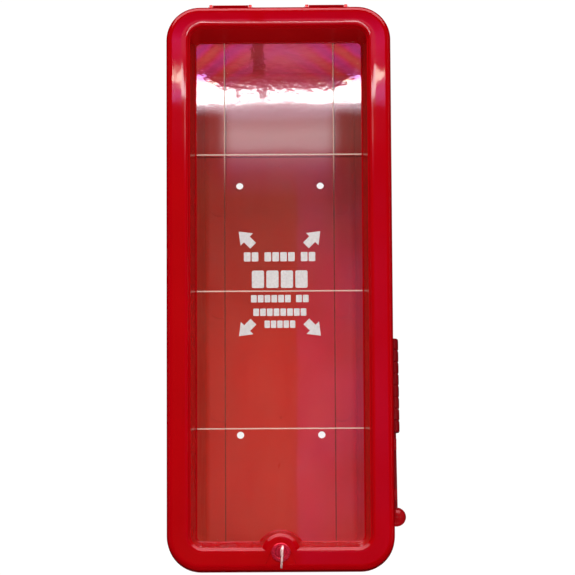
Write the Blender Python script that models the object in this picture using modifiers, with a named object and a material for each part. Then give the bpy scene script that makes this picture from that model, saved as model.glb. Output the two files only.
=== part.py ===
"""Wall-mounted fire-equipment cabinet: a moulded tub, a top-hinged cover with a break-out window, a cam
lock with its key, and a striker hammer held in two clips on the right side.

Row frame: +Z up, the front faces -Y, and the origin is the centre of the tub's flat back, which meets the
wall. All lengths are metres. A "depth" is measured back from the cover's front face.
"""

import math

import bmesh
import bpy
from mathutils import Matrix, Vector

# ---------------------------------------------------------------- driving dimensions

DEPTH = 0.184  # wall to the cover's front face
GAP = 0.0003  # between pieces that touch
WALL = 0.0026  # moulded wall thickness
CORNER_STEPS = 5  # facets in each outline corner
ROUND = 16  # facets round a turned piece

# Cover, seen from the front
COVER_W, COVER_H, COVER_R = 0.2430, 0.6100, 0.0365
SKIRT_DEPTH, SKIRT_DRAFT = 0.0440, 0.0006
EDGE_R = 0.0055  # rounding of the front outer edge
FACE_IN_W, FACE_IN_H, FACE_IN_R = 0.1998, 0.5706, 0.018
BEAD = (  # (inset, depth) stations from the face down over the bead to the step at its foot
    (0.0012, 0.0003),
    (0.0023, 0.0011),
    (0.0030, 0.0022),
    (0.0033, 0.0034),
    (0.0042, 0.0036),
    (0.0049, 0.0043),
)
WINDOW_W, WINDOW_H, WINDOW_R = 0.1788, 0.5426, 0.005
LIP_DEPTH, LIP_THICK = 0.0335, 0.0018  # the lip round the window
LEDGE_W, LEDGE_H, LEDGE_R = 0.2080, 0.5720, 0.010  # the lip's full width behind the wall
BOSS_R, BOSS_HOLE_R = 0.0031, 0.0014  # for the retainer screws

# Lock, on a lobe of the cover's lower rim
LOCK_Z = -0.2862
LOBE_FACE_R, LOBE_WINDOW_R = 0.0160, 0.0272
LOBE_STEPS = 14
LOBE_SPAN = 0.034  # half width of the rim stretch that takes the lobe
LOCK_NOTCH_R = 0.0205
BODY_R, BODY_END, BODY_BORE = 0.0090, 0.0265, 0.0058
BEZEL_R, BEZEL_PROUD = 0.0101, 0.0012
PLUG_R, PLUG_PROUD, PLUG_END, DRIVE = 0.0055, 0.0009, 0.0270, 0.0070
WASHER_R, WASHER_THICK, NUT_R, NUT_THICK = 0.0125, 0.0008, 0.0127, 0.0040
CAM_FRONT, CAM_THICK, CAM_REACH, CAM_W, CAM_EYE_R = 0.0273, 0.0025, 0.0128, 0.0090, 0.0070
KEEPER_FRONT, KEEPER_THICK, KEEPER_W = 0.0245, 0.0015, 0.0240
KEEPER_LOW, KEEPER_LIP, KEEPER_TOP = -0.3009, -0.2959, -0.2890
KEEPER_RIVET_X, KEEPER_RIVET_Z = 0.0080, -0.2945

# Key
KEY_THICK, KEY_X, BLADE_H, BLADE_IN = 0.0020, 0.0006, 0.0076, 0.0220
BOW_W, BOW_H, BOW_R, BOW_NEAR = 0.0245, 0.0236, 0.0078, 0.0022
BOW_X, BOW_DROP, BOW_LEAN = 0.0013, 0.0060, math.radians(3.9)
KEY_CUTS, KEY_PITCH = (0.0014, 0.0023, 0.0010, 0.0019, 0.0014), 0.0032

# Window panel, scored to break out, and its retainers
PANEL_W, PANEL_H, PANEL_THICK = 0.1876, 0.5520, 0.0020
SCORE_X, SCORE_Z, SCORE_DEEP = 0.0590, (0.1485, -0.0010, -0.1500), 0.0005
RETAINER_THICK, RETAINER_W, SIDE_RETAINER_HALF, END_RETAINER_HALF = 0.0022, 0.0120, 0.262, 0.088
SIDE_SCREW_X, SIDE_SCREW_Z = 0.0975, (-0.240, -0.080, 0.080, 0.240)
END_SCREW_Z, END_SCREW_X = 0.2796, (-0.060, 0.060)

# Tub
RIM_FRONT, RIM_W, RIM_H, RIM_R, RIM_LIP = 0.0404, 0.2350, 0.6020, 0.033, 0.0086
MOUTH_W, MOUTH_TOP, MOUTH_BOTTOM, MOUTH_R = 0.2080, 0.2790, -0.2755, 0.022
BACK_W, BACK_TOP, BACK_BOTTOM, BACK_R = 0.1740, 0.2705, -0.2705, 0.018
BACK_THICK, IN_BACK = 0.0030, 0.0015  # raised details start halfway into the back
SCREW_HOLE_R, SCREW_HOLE_X, SCREW_HOLE_Z = 0.0040, 0.0450, 0.1400
COLLAR_RISE, COLLAR_R, COLLAR_FOOT_R = 0.0024, 0.0056, 0.0062
PAD_R, PAD_X, PAD_Z, PAD_RISE = 0.0095, 0.0680, (0.1150, 0.0, -0.1160), 0.0007
GATE_Z, GATE_R, GATE_FOOT_R, GATE_RISE = (0.1620, -0.1200), 0.0013, 0.0020, 0.0012

# Hinges along the top
HINGE_DEPTH, HINGE_Z, HINGE_X, HINGE_SPAN = 0.0500, 0.3120, 0.05225, 0.0485
KNUCKLE_R, EAR_R, EAR_THICK, PIN_R, PIN_HEAD_R, PIN_HEAD = 0.0050, 0.0055, 0.0035, 0.0025, 0.0036, 0.0009

# Striker hammer and its clips, on the right side
HAMMER_DEPTH, HAMMER_LEAN = 0.066, math.radians(0.7)
BALL_X, BALL_Z, BALL_R = 0.1240, -0.2429, 0.0105
GRIP_TOP, GRIP_BOTTOM, GRIP_RIBS = -0.0502, -0.1517, 8
GRIP_R_TOP, GRIP_R_BOTTOM, GRIP_FLATTEN, GROOVE = 0.0060, 0.0055, 1.5, 0.0009
SHANK_THICK, SHANK_W, SHANK_TOP, SHANK_IN_BALL = 0.0030, 0.0090, -0.0950, 0.0080
CLIP_Z, CLIP_H, CLIP_SEAT_X = (-0.1650, -0.2190), 0.0120, 0.1040
CLIP_BASE, CLIP_BASE_W, CLIP_ARM, CLIP_TIP_X = 0.0025, 0.0300, 0.0016, 0.1247
RIVET_R, RIVET_HEAD_R, RIVET_HEAD, RIVET_Y, CLIP_RIVET_GRIP = 0.0015, 0.0028, 0.0013, 0.0105, 0.0064

NEEDS_MANIFOLD = ("cover_frame", "hammer_clip", "retainer_")  # EXACT leaves open edges in these
RED, STEEL = (0.52, 0.012, 0.016), (0.62, 0.62, 0.63)
X, Y, Z = Vector((1, 0, 0)), Vector((0, 1, 0)), Vector((0, 0, 1))


def y_at(depth):
    return depth - DEPTH


def hammer_x(z):
    """The hammer's axis leans out slightly towards the ball."""
    return BALL_X - (z - BALL_Z) * math.tan(HAMMER_LEAN)


# ---------------------------------------------------------------- scene helpers

for old in list(bpy.data.objects):
    bpy.data.objects.remove(old, do_unlink=True)
PARTS = bpy.data.collections.new("fire_equipment_cabinet")
TOOLS = bpy.data.collections.new("cutters")
for collection in (PARTS, TOOLS):
    bpy.context.scene.collection.children.link(collection)


def material(name, colour, roughness, metallic=0.0, alpha=1.0):
    made = bpy.data.materials.new(name)
    made.use_nodes = True
    shader = made.node_tree.nodes["Principled BSDF"]
    shader.inputs["Base Color"].default_value = (*colour, 1.0)
    shader.inputs["Roughness"].default_value = roughness
    shader.inputs["Metallic"].default_value = metallic
    shader.inputs["Alpha"].default_value = alpha
    return made


def adopt(obj, parent):
    """Parents obj and keeps it where it is; a parent here is a pivot with a world location."""
    if parent is not None:
        obj.parent = parent
        obj.matrix_parent_inverse = Matrix.Translation(parent.location).inverted()
    return obj


def pivot(name, location, parent=None):
    empty = bpy.data.objects.new(name, None)
    empty.location = location
    PARTS.objects.link(empty)
    return adopt(empty, parent)


def keep(obj, finish, parent=None):
    """Makes obj a sub-part."""
    PARTS.objects.link(obj)
    obj.data.materials.clear()
    obj.data.materials.append(finish)
    return adopt(obj, parent)


def object_from(name, bm):
    mesh = bpy.data.meshes.new(name)
    bm.to_mesh(mesh)
    bm.free()
    return bpy.data.objects.new(name, mesh)


def smooth(obj):
    obj.data.shade_smooth()
    obj.data.set_sharp_from_angle(angle=math.radians(32))
    return obj


def aim(obj, start, direction):
    obj.location = start
    obj.rotation_euler = Z.rotation_difference(Vector(direction)).to_euler()
    return obj


def box(name, low, high):
    low, high = Vector(low), Vector(high)
    bm = bmesh.new()
    bmesh.ops.create_cube(bm, size=1.0)
    bmesh.ops.scale(bm, vec=high - low, verts=bm.verts)
    obj = object_from(name, bm)
    obj.location = (low + high) / 2
    return obj


def cone(name, start, direction, length, radius, end_radius=None, sides=ROUND):
    """A cylinder or cone from start along direction."""
    bm = bmesh.new()
    end_radius = radius if end_radius is None else end_radius
    ends = {"radius1": radius, "radius2": end_radius}
    bmesh.ops.create_cone(bm, cap_ends=True, segments=sides, depth=length, **ends)
    bmesh.ops.translate(bm, verts=bm.verts, vec=(0, 0, length / 2))
    return smooth(aim(object_from(name, bm), start, direction))


def turned(name, stations, start, direction, sides=ROUND, tube=False):
    """A turned piece: (height, radius) stations run from its tip down its outer side to its foot, and in a
    tube on up its bore."""
    bm = bmesh.new()
    points = [bm.verts.new((radius, 0, height)) for height, radius in stations]
    for a, b in zip(points, points[1:] + points[:1] if tube else points[1:]):
        bm.edges.new((a, b))
    obj = aim(object_from(name, bm), start, direction)
    spin = obj.modifiers.new("turn", "SCREW")
    spin.steps = spin.render_steps = sides
    spin.use_merge_vertices = True
    spin.merge_threshold = 0.00005
    return obj


def plate(name, loops, thickness, origin, across, up):
    """A flat plate centred on origin, from outlines in (across, up): first its edge, then its holes."""
    curve = bpy.data.curves.new(name, "CURVE")
    curve.dimensions = "2D"
    curve.fill_mode = "BOTH"
    curve.extrude = thickness / 2
    for loop in loops:
        spline = curve.splines.new("POLY")
        spline.points.add(len(loop) - 1)
        for point, (u, v) in zip(spline.points, loop):
            point.co = (u, v, 0, 1)
        spline.use_cyclic_u = True
    guide = bpy.data.objects.new(name, curve)
    axes = Matrix((across, up, across.cross(up))).transposed().to_4x4()
    guide.matrix_world = Matrix.Translation(origin) @ axes
    TOOLS.objects.link(guide)
    bpy.context.view_layer.update()
    mesh = bpy.data.meshes.new_from_object(guide.evaluated_get(bpy.context.evaluated_depsgraph_get()))
    placed = guide.matrix_world.copy()
    bpy.data.objects.remove(guide, do_unlink=True)
    obj = bpy.data.objects.new(name, mesh)
    obj.matrix_world = placed
    bm = bmesh.new()
    bm.from_mesh(mesh)
    bmesh.ops.remove_doubles(bm, verts=bm.verts, dist=1e-6)
    bmesh.ops.recalc_face_normals(bm, faces=bm.faces)
    bm.to_mesh(mesh)
    bm.free()
    return smooth(obj)


def boolean(target, tool, operation):
    TOOLS.objects.link(tool)
    tool.hide_render = True
    tool.display_type = "WIRE"
    step = target.modifiers.new(tool.name, "BOOLEAN")
    step.operation = operation
    step.solver = "MANIFOLD" if target.name.startswith(NEEDS_MANIFOLD) else "EXACT"
    step.object = tool


def add(target, tool):
    boolean(target, tool, "UNION")


def cut(target, tool):
    boolean(target, tool, "DIFFERENCE")


def arc(centre, radius, start, end, steps):
    """Points on an arc from start to end, in degrees, both ends included."""
    angles = [math.radians(start + (end - start) * i / steps) for i in range(steps + 1)]
    return [(centre[0] + radius * math.cos(a), centre[1] + radius * math.sin(a)) for a in angles]


def rounded(half_u, half_v, radius, steps=CORNER_STEPS, centre=(0, 0)):
    """A rounded rectangle, anticlockwise from its lower right corner."""
    points = []
    for i, (su, sv) in enumerate(((1, -1), (1, 1), (-1, 1), (-1, -1))):
        middle = (centre[0] + su * (half_u - radius), centre[1] + sv * (half_v - radius))
        points += arc(middle, radius, 90 * i - 90, 90 * i, steps)
    return points


# ---------------------------------------------------------------- rim outlines and lofts


def outline(half_w, top, bottom, radius, lobe=0.0):
    """A rounded rectangle in (x, z) with a round lobe about the lock standing up from its lower edge. Every
    outline has the same number of points, so that a loft can join any two."""
    middle = (top + bottom) / 2
    points = rounded(half_w, (top - bottom) / 2, radius, centre=(0, middle))
    rise = bottom - LOCK_Z
    if lobe > abs(rise):
        foot = math.degrees(math.asin(rise / lobe))
        crest = arc((0, LOCK_Z), lobe, 180 - foot, foot, LOBE_STEPS)
    else:
        crest = [(x, bottom) for x, _ in arc((0, 0), LOBE_FACE_R, 180, 0, LOBE_STEPS)]
    return points + [(-LOBE_SPAN, bottom)] + crest + [(LOBE_SPAN, bottom)]


def rim(width, height, radius, lobe=0.0, inset=0.0):
    """The outline of a centred rim moved in by inset; its lobe grows as it moves in."""
    half_h = height / 2 - inset
    return outline(width / 2 - inset, half_h, -half_h, radius - inset, lobe + inset if lobe else 0.0)


def loft(name, rings, capped):
    """Faces between rings of (depth, outline), capped at both ends or else closed on itself."""
    bm = bmesh.new()
    made = [[bm.verts.new((x, y_at(depth), z)) for x, z in ring] for depth, ring in rings]
    pairs = list(zip(made, made[1:]))
    if capped:
        bm.faces.new(made[0])
        bm.faces.new(made[-1])
    else:
        pairs.append((made[-1], made[0]))
    for here, there in pairs:
        for i, point in enumerate(here):
            j = (i + 1) % len(here)
            bm.faces.new((point, here[j], there[j], there[i]))
    bmesh.ops.recalc_face_normals(bm, faces=bm.faces)
    return smooth(object_from(name, bm))


# ---------------------------------------------------------------- tub


def tub_shell():
    front, floor = RIM_FRONT, DEPTH - BACK_THICK
    inside = WALL + 0.0004

    def mouth(radius, inset=0.0):
        return outline(MOUTH_W / 2 - inset, MOUTH_TOP - inset, MOUTH_BOTTOM + inset, radius)

    def back(radius, inset=0.0):
        return outline(BACK_W / 2 - inset, BACK_TOP - inset, BACK_BOTTOM + inset, radius)

    rings = [
        (floor, back(0.009, inside + 0.006)),
        (floor - 0.0018, back(0.013, inside + 0.0018)),
        (floor - 0.0060, back(0.015, inside)),
        (front + 0.0015, mouth(0.020, WALL)),
        (front, mouth(0.021, WALL - 0.001)),
        (front, rim(RIM_W, RIM_H, RIM_R, inset=0.0012)),
        (front + 0.0012, rim(RIM_W, RIM_H, RIM_R)),
        (front + RIM_LIP, rim(RIM_W, RIM_H, RIM_R)),
        (front + RIM_LIP, rim(RIM_W, RIM_H, RIM_R, inset=WALL)),
        (front + WALL, rim(RIM_W, RIM_H, RIM_R, inset=WALL)),
        (front + WALL, mouth(MOUTH_R)),
        (DEPTH - 0.0050, back(BACK_R)),
        (DEPTH - 0.0015, back(BACK_R - 0.001, 0.0015)),
        (DEPTH, back(BACK_R - 0.004, 0.0045)),
    ]
    return loft("tub", rings, capped=True)


def tub():
    body = tub_shell()
    floor = y_at(DEPTH - BACK_THICK)
    for side in (-1, 1):
        for z in (-SCREW_HOLE_Z, SCREW_HOLE_Z):
            x = side * SCREW_HOLE_X
            if z > 0:  # only the upper pair has a raised collar
                start = (x, floor - COLLAR_RISE, z)
                add(body, cone("collar", start, Y, COLLAR_RISE + IN_BACK, COLLAR_R, COLLAR_FOOT_R))
            cut(body, cone("wall_screw_hole", (x, floor - 0.01, z), Y, 0.02, SCREW_HOLE_R))
        for z in PAD_Z:
            add(body, cone("pad", (side * PAD_X, floor - PAD_RISE, z), Y, PAD_RISE + IN_BACK, PAD_R))
    for z in GATE_Z:
        start = (0, floor - GATE_RISE, z)
        add(body, cone("gate", start, Y, GATE_RISE + IN_BACK, GATE_R, GATE_FOOT_R, 12))
    for side in (-1, 1):
        reach = HINGE_SPAN / 2 - PIN_HEAD - GAP
        for end in (-1, 1):
            add(body, hinge_ear(side * HINGE_X + end * (reach - EAR_THICK / 2)))
        bore_start = (side * HINGE_X - HINGE_SPAN / 2, y_at(HINGE_DEPTH), HINGE_Z)
        cut(body, cone("ear_bore", bore_start, X, HINGE_SPAN, PIN_R + GAP))
        hole_start = (side * KEEPER_RIVET_X, y_at(RIM_FRONT - 0.002), KEEPER_RIVET_Z)
        cut(body, cone("keeper_hole", hole_start, Y, 0.008, RIVET_R + GAP, sides=12))
    for z in CLIP_Z:
        add(body, clip_seat(z))
        for end in (-1, 1):
            start = (CLIP_SEAT_X + 0.001, y_at(HAMMER_DEPTH) + end * RIVET_Y, z)
            cut(body, cone("rivet_hole", start, -X, 0.0049, RIVET_R + GAP, sides=12))
    return keep(body, material("tub_plastic", RED, 0.28))


def hinge_ear(x):
    """An ear with its gusset, from the tub's top wall over the rim to the hinge pin."""
    centre = (y_at(HINGE_DEPTH), HINGE_Z)
    stem, in_rim = centre[0] - 0.0045, y_at(RIM_FRONT) + 0.0015
    shape = [
        (in_rim, MOUTH_TOP - 0.0010),
        (centre[0] + 0.0120, MOUTH_TOP - 0.0030),
        (centre[0] + 0.0080, RIM_H / 2 - 0.0010),
        *arc(centre, EAR_R, -20, 215, 12),
        (stem, RIM_H / 2 - 0.0015),
        (in_rim, RIM_H / 2 - 0.0015),
    ]
    return plate("ear", [shape], EAR_THICK, (x, 0, 0), Y, Z)


def clip_seat(z):
    """A block on the tub's drafted side wall with an upright outer face for a clip."""

    def in_wall(y):
        along = (y - y_at(RIM_FRONT)) / (0 - y_at(RIM_FRONT))
        return MOUTH_W / 2 + (BACK_W - MOUTH_W) / 2 * along - WALL / 2

    middle, half = y_at(HAMMER_DEPTH), CLIP_BASE_W / 2 + 0.001
    shape = [
        (in_wall(middle - half), middle - half),
        (CLIP_SEAT_X, middle - half),
        (CLIP_SEAT_X, middle + half),
        (in_wall(middle + half), middle + half),
    ]
    return plate("clip_seat", [shape], CLIP_H + 0.002, (0, 0, z), X, Y)


def hinge_pin(name, side, finish):
    half = HINGE_SPAN / 2
    neck = half - PIN_HEAD
    stations = [
        (half, 0),
        (half, PIN_HEAD_R - 0.0005),
        (half - 0.0004, PIN_HEAD_R),
        (neck, PIN_HEAD_R),
        (neck, PIN_R),
    ]
    stations += [(-height, radius) for height, radius in reversed(stations)]
    start = (side * HINGE_X, y_at(HINGE_DEPTH), HINGE_Z)
    return keep(turned(name, stations, start, X, sides=20), finish)


# ---------------------------------------------------------------- keeper


def keeper(finish):
    """A bent strap on the rim's front: the cam turns down behind its front lip."""
    rear = y_at(RIM_FRONT) - GAP
    front = y_at(KEEPER_FRONT)
    floor = KEEPER_LOW + KEEPER_THICK
    shape = [
        (front, KEEPER_LOW),
        (rear, KEEPER_LOW),
        (rear, KEEPER_TOP),
        (rear - KEEPER_THICK, KEEPER_TOP),
        (rear - KEEPER_THICK, floor),
        (front + KEEPER_THICK, floor),
        (front + KEEPER_THICK, KEEPER_LIP),
        (front, KEEPER_LIP),
    ]
    body = plate("keeper", [shape], KEEPER_W, (0, 0, 0), Y, Z)
    for side in (-1, 1):
        start = (side * KEEPER_RIVET_X, rear - 0.004, KEEPER_RIVET_Z)
        cut(body, cone("keeper_rivet_hole", start, Y, 0.008, RIVET_R + GAP, sides=12))
    return keep(body, finish)


def rivet(name, head_at, direction, grip_length, tail, finish):
    """A domed rivet: head_at is under its head, direction points from its tail to its head."""
    stations = [
        (RIVET_HEAD, 0),
        (RIVET_HEAD * 0.85, RIVET_HEAD_R * 0.6),
        (RIVET_HEAD * 0.4, RIVET_HEAD_R),
        (0, RIVET_HEAD_R),
        (0, RIVET_R),
        (-grip_length, RIVET_R),
    ]
    if tail:
        stations += [(-grip_length, RIVET_HEAD_R * 0.8), (-grip_length - 0.0010, RIVET_HEAD_R * 0.6)]
    stations.append((stations[-1][0], 0))
    return keep(turned(name, stations, head_at, direction, sides=12), finish)


# ---------------------------------------------------------------- cover


def cover_rings():
    cover, face = (COVER_W, COVER_H, COVER_R), (FACE_IN_W, FACE_IN_H, FACE_IN_R, LOBE_FACE_R)
    window, ledge = (WINDOW_W, WINDOW_H, WINDOW_R, LOBE_WINDOW_R), (LEDGE_W, LEDGE_H, LEDGE_R)
    lip_back = LIP_DEPTH + LIP_THICK
    bead_in, bead_deep = BEAD[-1]
    rings = [(SKIRT_DEPTH, rim(*cover)), (EDGE_R, rim(*cover, inset=SKIRT_DRAFT))]
    for i in range(1, 5):  # round the front outer edge
        angle = math.radians(90 * i / 4)
        inset = SKIRT_DRAFT + EDGE_R * (1 - math.cos(angle))
        rings.append((EDGE_R * (1 - math.sin(angle)), rim(*cover, inset=inset)))
    rings.append((0, rim(*face)))
    rings += [(depth, rim(*face, inset=inset)) for inset, depth in BEAD]
    rings += [
        (LIP_DEPTH, rim(*window)),
        (lip_back, rim(*window)),
        (lip_back, rim(*ledge)),
        (LIP_DEPTH, rim(*ledge)),
        (LIP_DEPTH, rim(*window, inset=-WALL - 0.0004)),
        (bead_deep + 0.0019, rim(*face, inset=bead_in - WALL - 0.0003)),
        (WALL, rim(*face, inset=-0.0012)),
        (WALL, rim(*cover, inset=SKIRT_DRAFT + WALL + 0.0020)),
        (WALL + 0.0020, rim(*cover, inset=SKIRT_DRAFT + WALL)),
        (SKIRT_DEPTH, rim(*cover, inset=WALL)),
    ]
    return rings


def screw_places():
    """(x, z) of every retainer screw, by the retainer that it holds."""
    places = {}
    for word, side in (("left", -1), ("right", 1)):
        places[word] = [(side * SIDE_SCREW_X, z) for z in SIDE_SCREW_Z]
    for word, side in (("bottom", -1), ("top", 1)):
        places[word] = [(x, side * END_SCREW_Z) for x in END_SCREW_X]
    return places


def cover_frame(parent):
    body = loft("cover_frame", cover_rings(), capped=False)
    for side in (-1, 1):
        add(body, hinge_knuckle(side))
    for side in (-1, 1):
        start = (side * HINGE_X - HINGE_SPAN / 2, y_at(HINGE_DEPTH), HINGE_Z)
        cut(body, cone("knuckle_bore", start, X, HINGE_SPAN, PIN_R + GAP))
    cut(body, cone("lock_notch", (0, y_at(LIP_DEPTH - 0.003), LOCK_Z), Y, 0.010, LOCK_NOTCH_R))
    cut(body, cone("lock_hole", (0, y_at(-0.003), LOCK_Z), Y, 0.010, BODY_R + GAP, sides=32))
    lip_back = LIP_DEPTH + LIP_THICK
    height = GAP + PANEL_THICK
    for places in screw_places().values():
        for x, z in places:
            add(body, cone("boss", (x, y_at(lip_back - 0.001), z), Y, 0.001 + height, BOSS_R, sides=8))
            cut(body, cone("boss_hole", (x, y_at(LIP_DEPTH - 0.002), z), Y, 0.009, BOSS_HOLE_R, sides=8))
    return keep(body, material("cover_plastic", RED, 0.22), parent)


def hinge_knuckle(side):
    """A barrel round the hinge pin, joined to the cover's top wall by a ramp."""
    centre = (y_at(HINGE_DEPTH), HINGE_Z)
    inside = COVER_H / 2 - 0.0016
    shape = [
        (y_at(0.0280), inside),
        (y_at(SKIRT_DEPTH - 0.0006), inside),
        *arc(centre, KNUCKLE_R, -120, 115, 14),
        (y_at(0.0260), COVER_H / 2 - 0.0009),
    ]
    width = HINGE_SPAN - 2 * (PIN_HEAD + EAR_THICK + 2 * GAP)
    return plate("knuckle", [shape], width, (side * HINGE_X, 0, 0), Y, Z)


def window_panel(parent):
    """A clear plate, grooved on its front so that it breaks along the lines."""
    front = y_at(LIP_DEPTH + LIP_THICK + GAP)
    low = (-PANEL_W / 2, front, -PANEL_H / 2)
    body = box("window_panel", low, (PANEL_W / 2, front + PANEL_THICK, PANEL_H / 2))
    for side in (-1, 1):
        start = (side * SCORE_X, front, -PANEL_H / 2 - 0.001)
        cut(body, cone("score_upright", start, Z, PANEL_H + 0.002, SCORE_DEEP, sides=4))
    for z in SCORE_Z:
        start = (-PANEL_W / 2 - 0.001, front, z)
        cut(body, cone("score_level", start, X, PANEL_W + 0.002, SCORE_DEEP, sides=4))
    return keep(body, material("clear_plastic", (0.95, 0.93, 0.92), 0.05, alpha=0.25), parent)


def retainer(word, places, finish, parent):
    """A strip behind one edge of the window panel, countersunk for its screws."""
    front = y_at(LIP_DEPTH + LIP_THICK + 2 * GAP + PANEL_THICK)
    back = front + RETAINER_THICK
    side = 1 if word in ("right", "top") else -1
    if word in ("left", "right"):
        half, middle = (RETAINER_W / 2, SIDE_RETAINER_HALF), (side * SIDE_SCREW_X, 0)
    else:
        half, middle = (END_RETAINER_HALF, RETAINER_W / 2), (0, side * END_SCREW_Z)
    edge = rounded(*half, 0.002, 2, middle)
    origin = (0, (front + back) / 2, 0)
    body = plate(f"retainer_{word}", [[(-u, v) for u, v in edge]], RETAINER_THICK, origin, -X, Z)
    for x, z in places:
        cut(body, cone("clearance", (x, front - 0.001, z), Y, 0.004, 0.0015, sides=8))
        cut(body, cone("countersink", (x, back + 0.0002, z), -Y, 0.0018, 0.0032, 0.0014, sides=8))
    return keep(body, finish, parent)


def retainer_screw(name, x, z, finish, parent):
    """A countersunk self-tapping screw, its head flush with the strip."""
    tip = LIP_DEPTH - 0.003
    head = LIP_DEPTH + LIP_THICK + 2 * GAP + PANEL_THICK + RETAINER_THICK - 0.0001 - tip
    stations = [
        (head, 0),
        (head, 0.0026),
        (head - 0.0003, 0.0026),
        (head - 0.0017, 0.0011),
        (0.0015, 0.0011),
        (0, 0),
    ]
    return keep(turned(name, stations, (x, y_at(tip), z), Y, sides=8), finish, parent)


# ---------------------------------------------------------------- lock and key


def lock_body(finish, parent):
    front = BODY_END + BEZEL_PROUD
    seat = BODY_END + GAP
    stations = [
        (front, BODY_BORE + 0.0006),
        (front, BEZEL_R - 0.0007),
        (front - 0.0005, BEZEL_R),
        (seat, BEZEL_R),
        (seat, BODY_R),
        (0, BODY_R),
        (0, BODY_BORE),
        (front - 0.0005, BODY_BORE),
    ]
    start = (0, y_at(BODY_END), LOCK_Z)
    return keep(turned("lock_body", stations, start, -Y, sides=32, tube=True), finish, parent)


def lock_ring(name, outer, depth, thick, sides, finish, parent):
    """A washer, or with six sides a nut, behind the cover's face."""
    front = y_at(depth)
    body = cone(name, (0, front, LOCK_Z), Y, thick, outer, sides=sides)
    cut(body, cone(f"{name}_bore", (0, front - 0.002, LOCK_Z), Y, thick + 0.004, BODY_R + GAP, sides=32))
    return keep(body, finish, parent)


def lock_plug(finish, parent):
    """The part of the lock that the key turns, with a square end for the cam."""
    body = cone("lock_plug", (0, y_at(PLUG_END), LOCK_Z), -Y, PLUG_END + PLUG_PROUD, PLUG_R, sides=32)
    end = CAM_FRONT + CAM_THICK + GAP
    low = (-DRIVE / 2, y_at(PLUG_END - 0.002), LOCK_Z - DRIVE / 2)
    add(body, box("drive", low, (DRIVE / 2, y_at(end), LOCK_Z + DRIVE / 2)))
    half_slot, half_height = KEY_THICK / 2 + GAP, BLADE_H / 2 + GAP
    low = (KEY_X - half_slot, y_at(-PLUG_PROUD - 0.002), LOCK_Z - half_height)
    cut(body, box("keyway", low, (KEY_X + half_slot, y_at(BLADE_IN + 0.0005), LOCK_Z + half_height)))
    cut(body, cone("cam_screw_hole", (0, y_at(end + 0.001), LOCK_Z), -Y, 0.0065, 0.0018, sides=12))
    return keep(body, finish, parent)


def cam(finish, parent):
    """Points right at rest, which is unlocked, and turns down behind the keeper's lip."""
    neck = math.degrees(math.asin(CAM_W / 2 / CAM_EYE_R))
    tip = rounded(0.002, CAM_W / 2, 0.0019, 3, (CAM_REACH - 0.002, 0))
    half = len(tip) // 2
    shape = tip[:half] + arc((0, 0), CAM_EYE_R, neck, 360 - neck, 16)
    hole = DRIVE / 2 + GAP
    square = [(-hole, -hole), (-hole, hole), (hole, hole), (hole, -hole)]
    mirrored = [[(-u, v) for u, v in loop] for loop in (shape, square)]
    origin = (0, y_at(CAM_FRONT + CAM_THICK / 2), LOCK_Z)
    return keep(plate("cam", mirrored, CAM_THICK, origin, -X, Z), finish, parent)


def cam_screw(finish, parent):
    shank = 0.0050
    stations = [
        (shank + 0.0020, 0),
        (shank + 0.0020, 0.0034),
        (shank + 0.0012, 0.0044),
        (shank, 0.0044),
        (shank, 0.0015),
        (0, 0.0015),
        (0, 0),
    ]
    seat = CAM_FRONT + CAM_THICK + 2 * GAP
    return keep(turned("cam_screw", stations, (0, y_at(seat - shank), LOCK_Z), Y), finish, parent)


def key(finish, parent):
    """A flat key: a cut blade, and a bow that hangs a little low and off to one side."""
    shoulder, tip, top = y_at(-BOW_NEAR - 0.004), y_at(BLADE_IN), BLADE_H / 2
    edge = [(shoulder, -top), (y_at(0.002), -top)]
    for i, deep in enumerate(KEY_CUTS):
        middle = y_at(0.0045 + KEY_PITCH * i)
        edge.append((middle - 0.0011, -top + 0.0002))
        edge += [(middle - 0.0004, -top + deep), (middle + 0.0004, -top + deep)]
    edge += [(tip - 0.0012, -top), (tip, -top + 0.0028), (tip - 0.0020, top), (shoulder, top)]
    body = plate("key", [edge], KEY_THICK, (KEY_X, 0, LOCK_Z), Y, Z)
    middle = y_at(-BOW_NEAR - BOW_W / 2)
    bow = rounded(BOW_W / 2, BOW_H / 2, BOW_R, 5)
    ring_hole = arc((-BOW_W / 2 + 0.0062, 0), 0.0030, 360, 22.5, 15)
    lean = Vector((math.sin(BOW_LEAN), 0, math.cos(BOW_LEAN)))
    add(body, plate("bow", [bow, ring_hole], KEY_THICK, (BOW_X, middle, LOCK_Z - BOW_DROP), Y, lean))
    return keep(body, finish, parent)


# ---------------------------------------------------------------- striker hammer and clips


def hammer_grip(finish, parent):
    """A turned, ribbed handle, flattened so that it is deeper than it is thick."""
    length = GRIP_TOP - GRIP_BOTTOM
    pitch = length / GRIP_RIBS
    stations = [(length, 0)]
    for i in range(GRIP_RIBS):
        top = length - i * pitch
        for down, sunk in ((0, GROOVE), (0.0010, 0), (pitch - 0.0010, 0)):
            height = top - down
            swell = GRIP_R_BOTTOM + (GRIP_R_TOP - GRIP_R_BOTTOM) * height / length
            stations.append((height, swell - sunk))
    stations += [(0, GRIP_R_BOTTOM - GROOVE), (0, 0)]
    start = (hammer_x(GRIP_BOTTOM), y_at(HAMMER_DEPTH), GRIP_BOTTOM)
    lean = (-math.sin(HAMMER_LEAN), 0, math.cos(HAMMER_LEAN))
    body = turned("hammer_grip", stations, start, lean, sides=14)
    body.scale = (1, GRIP_FLATTEN, 1)
    cut(body, hammer_bar("shank_socket", GAP, SHANK_TOP + GAP, GRIP_BOTTOM - 0.005))
    return keep(body, finish, parent)


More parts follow.
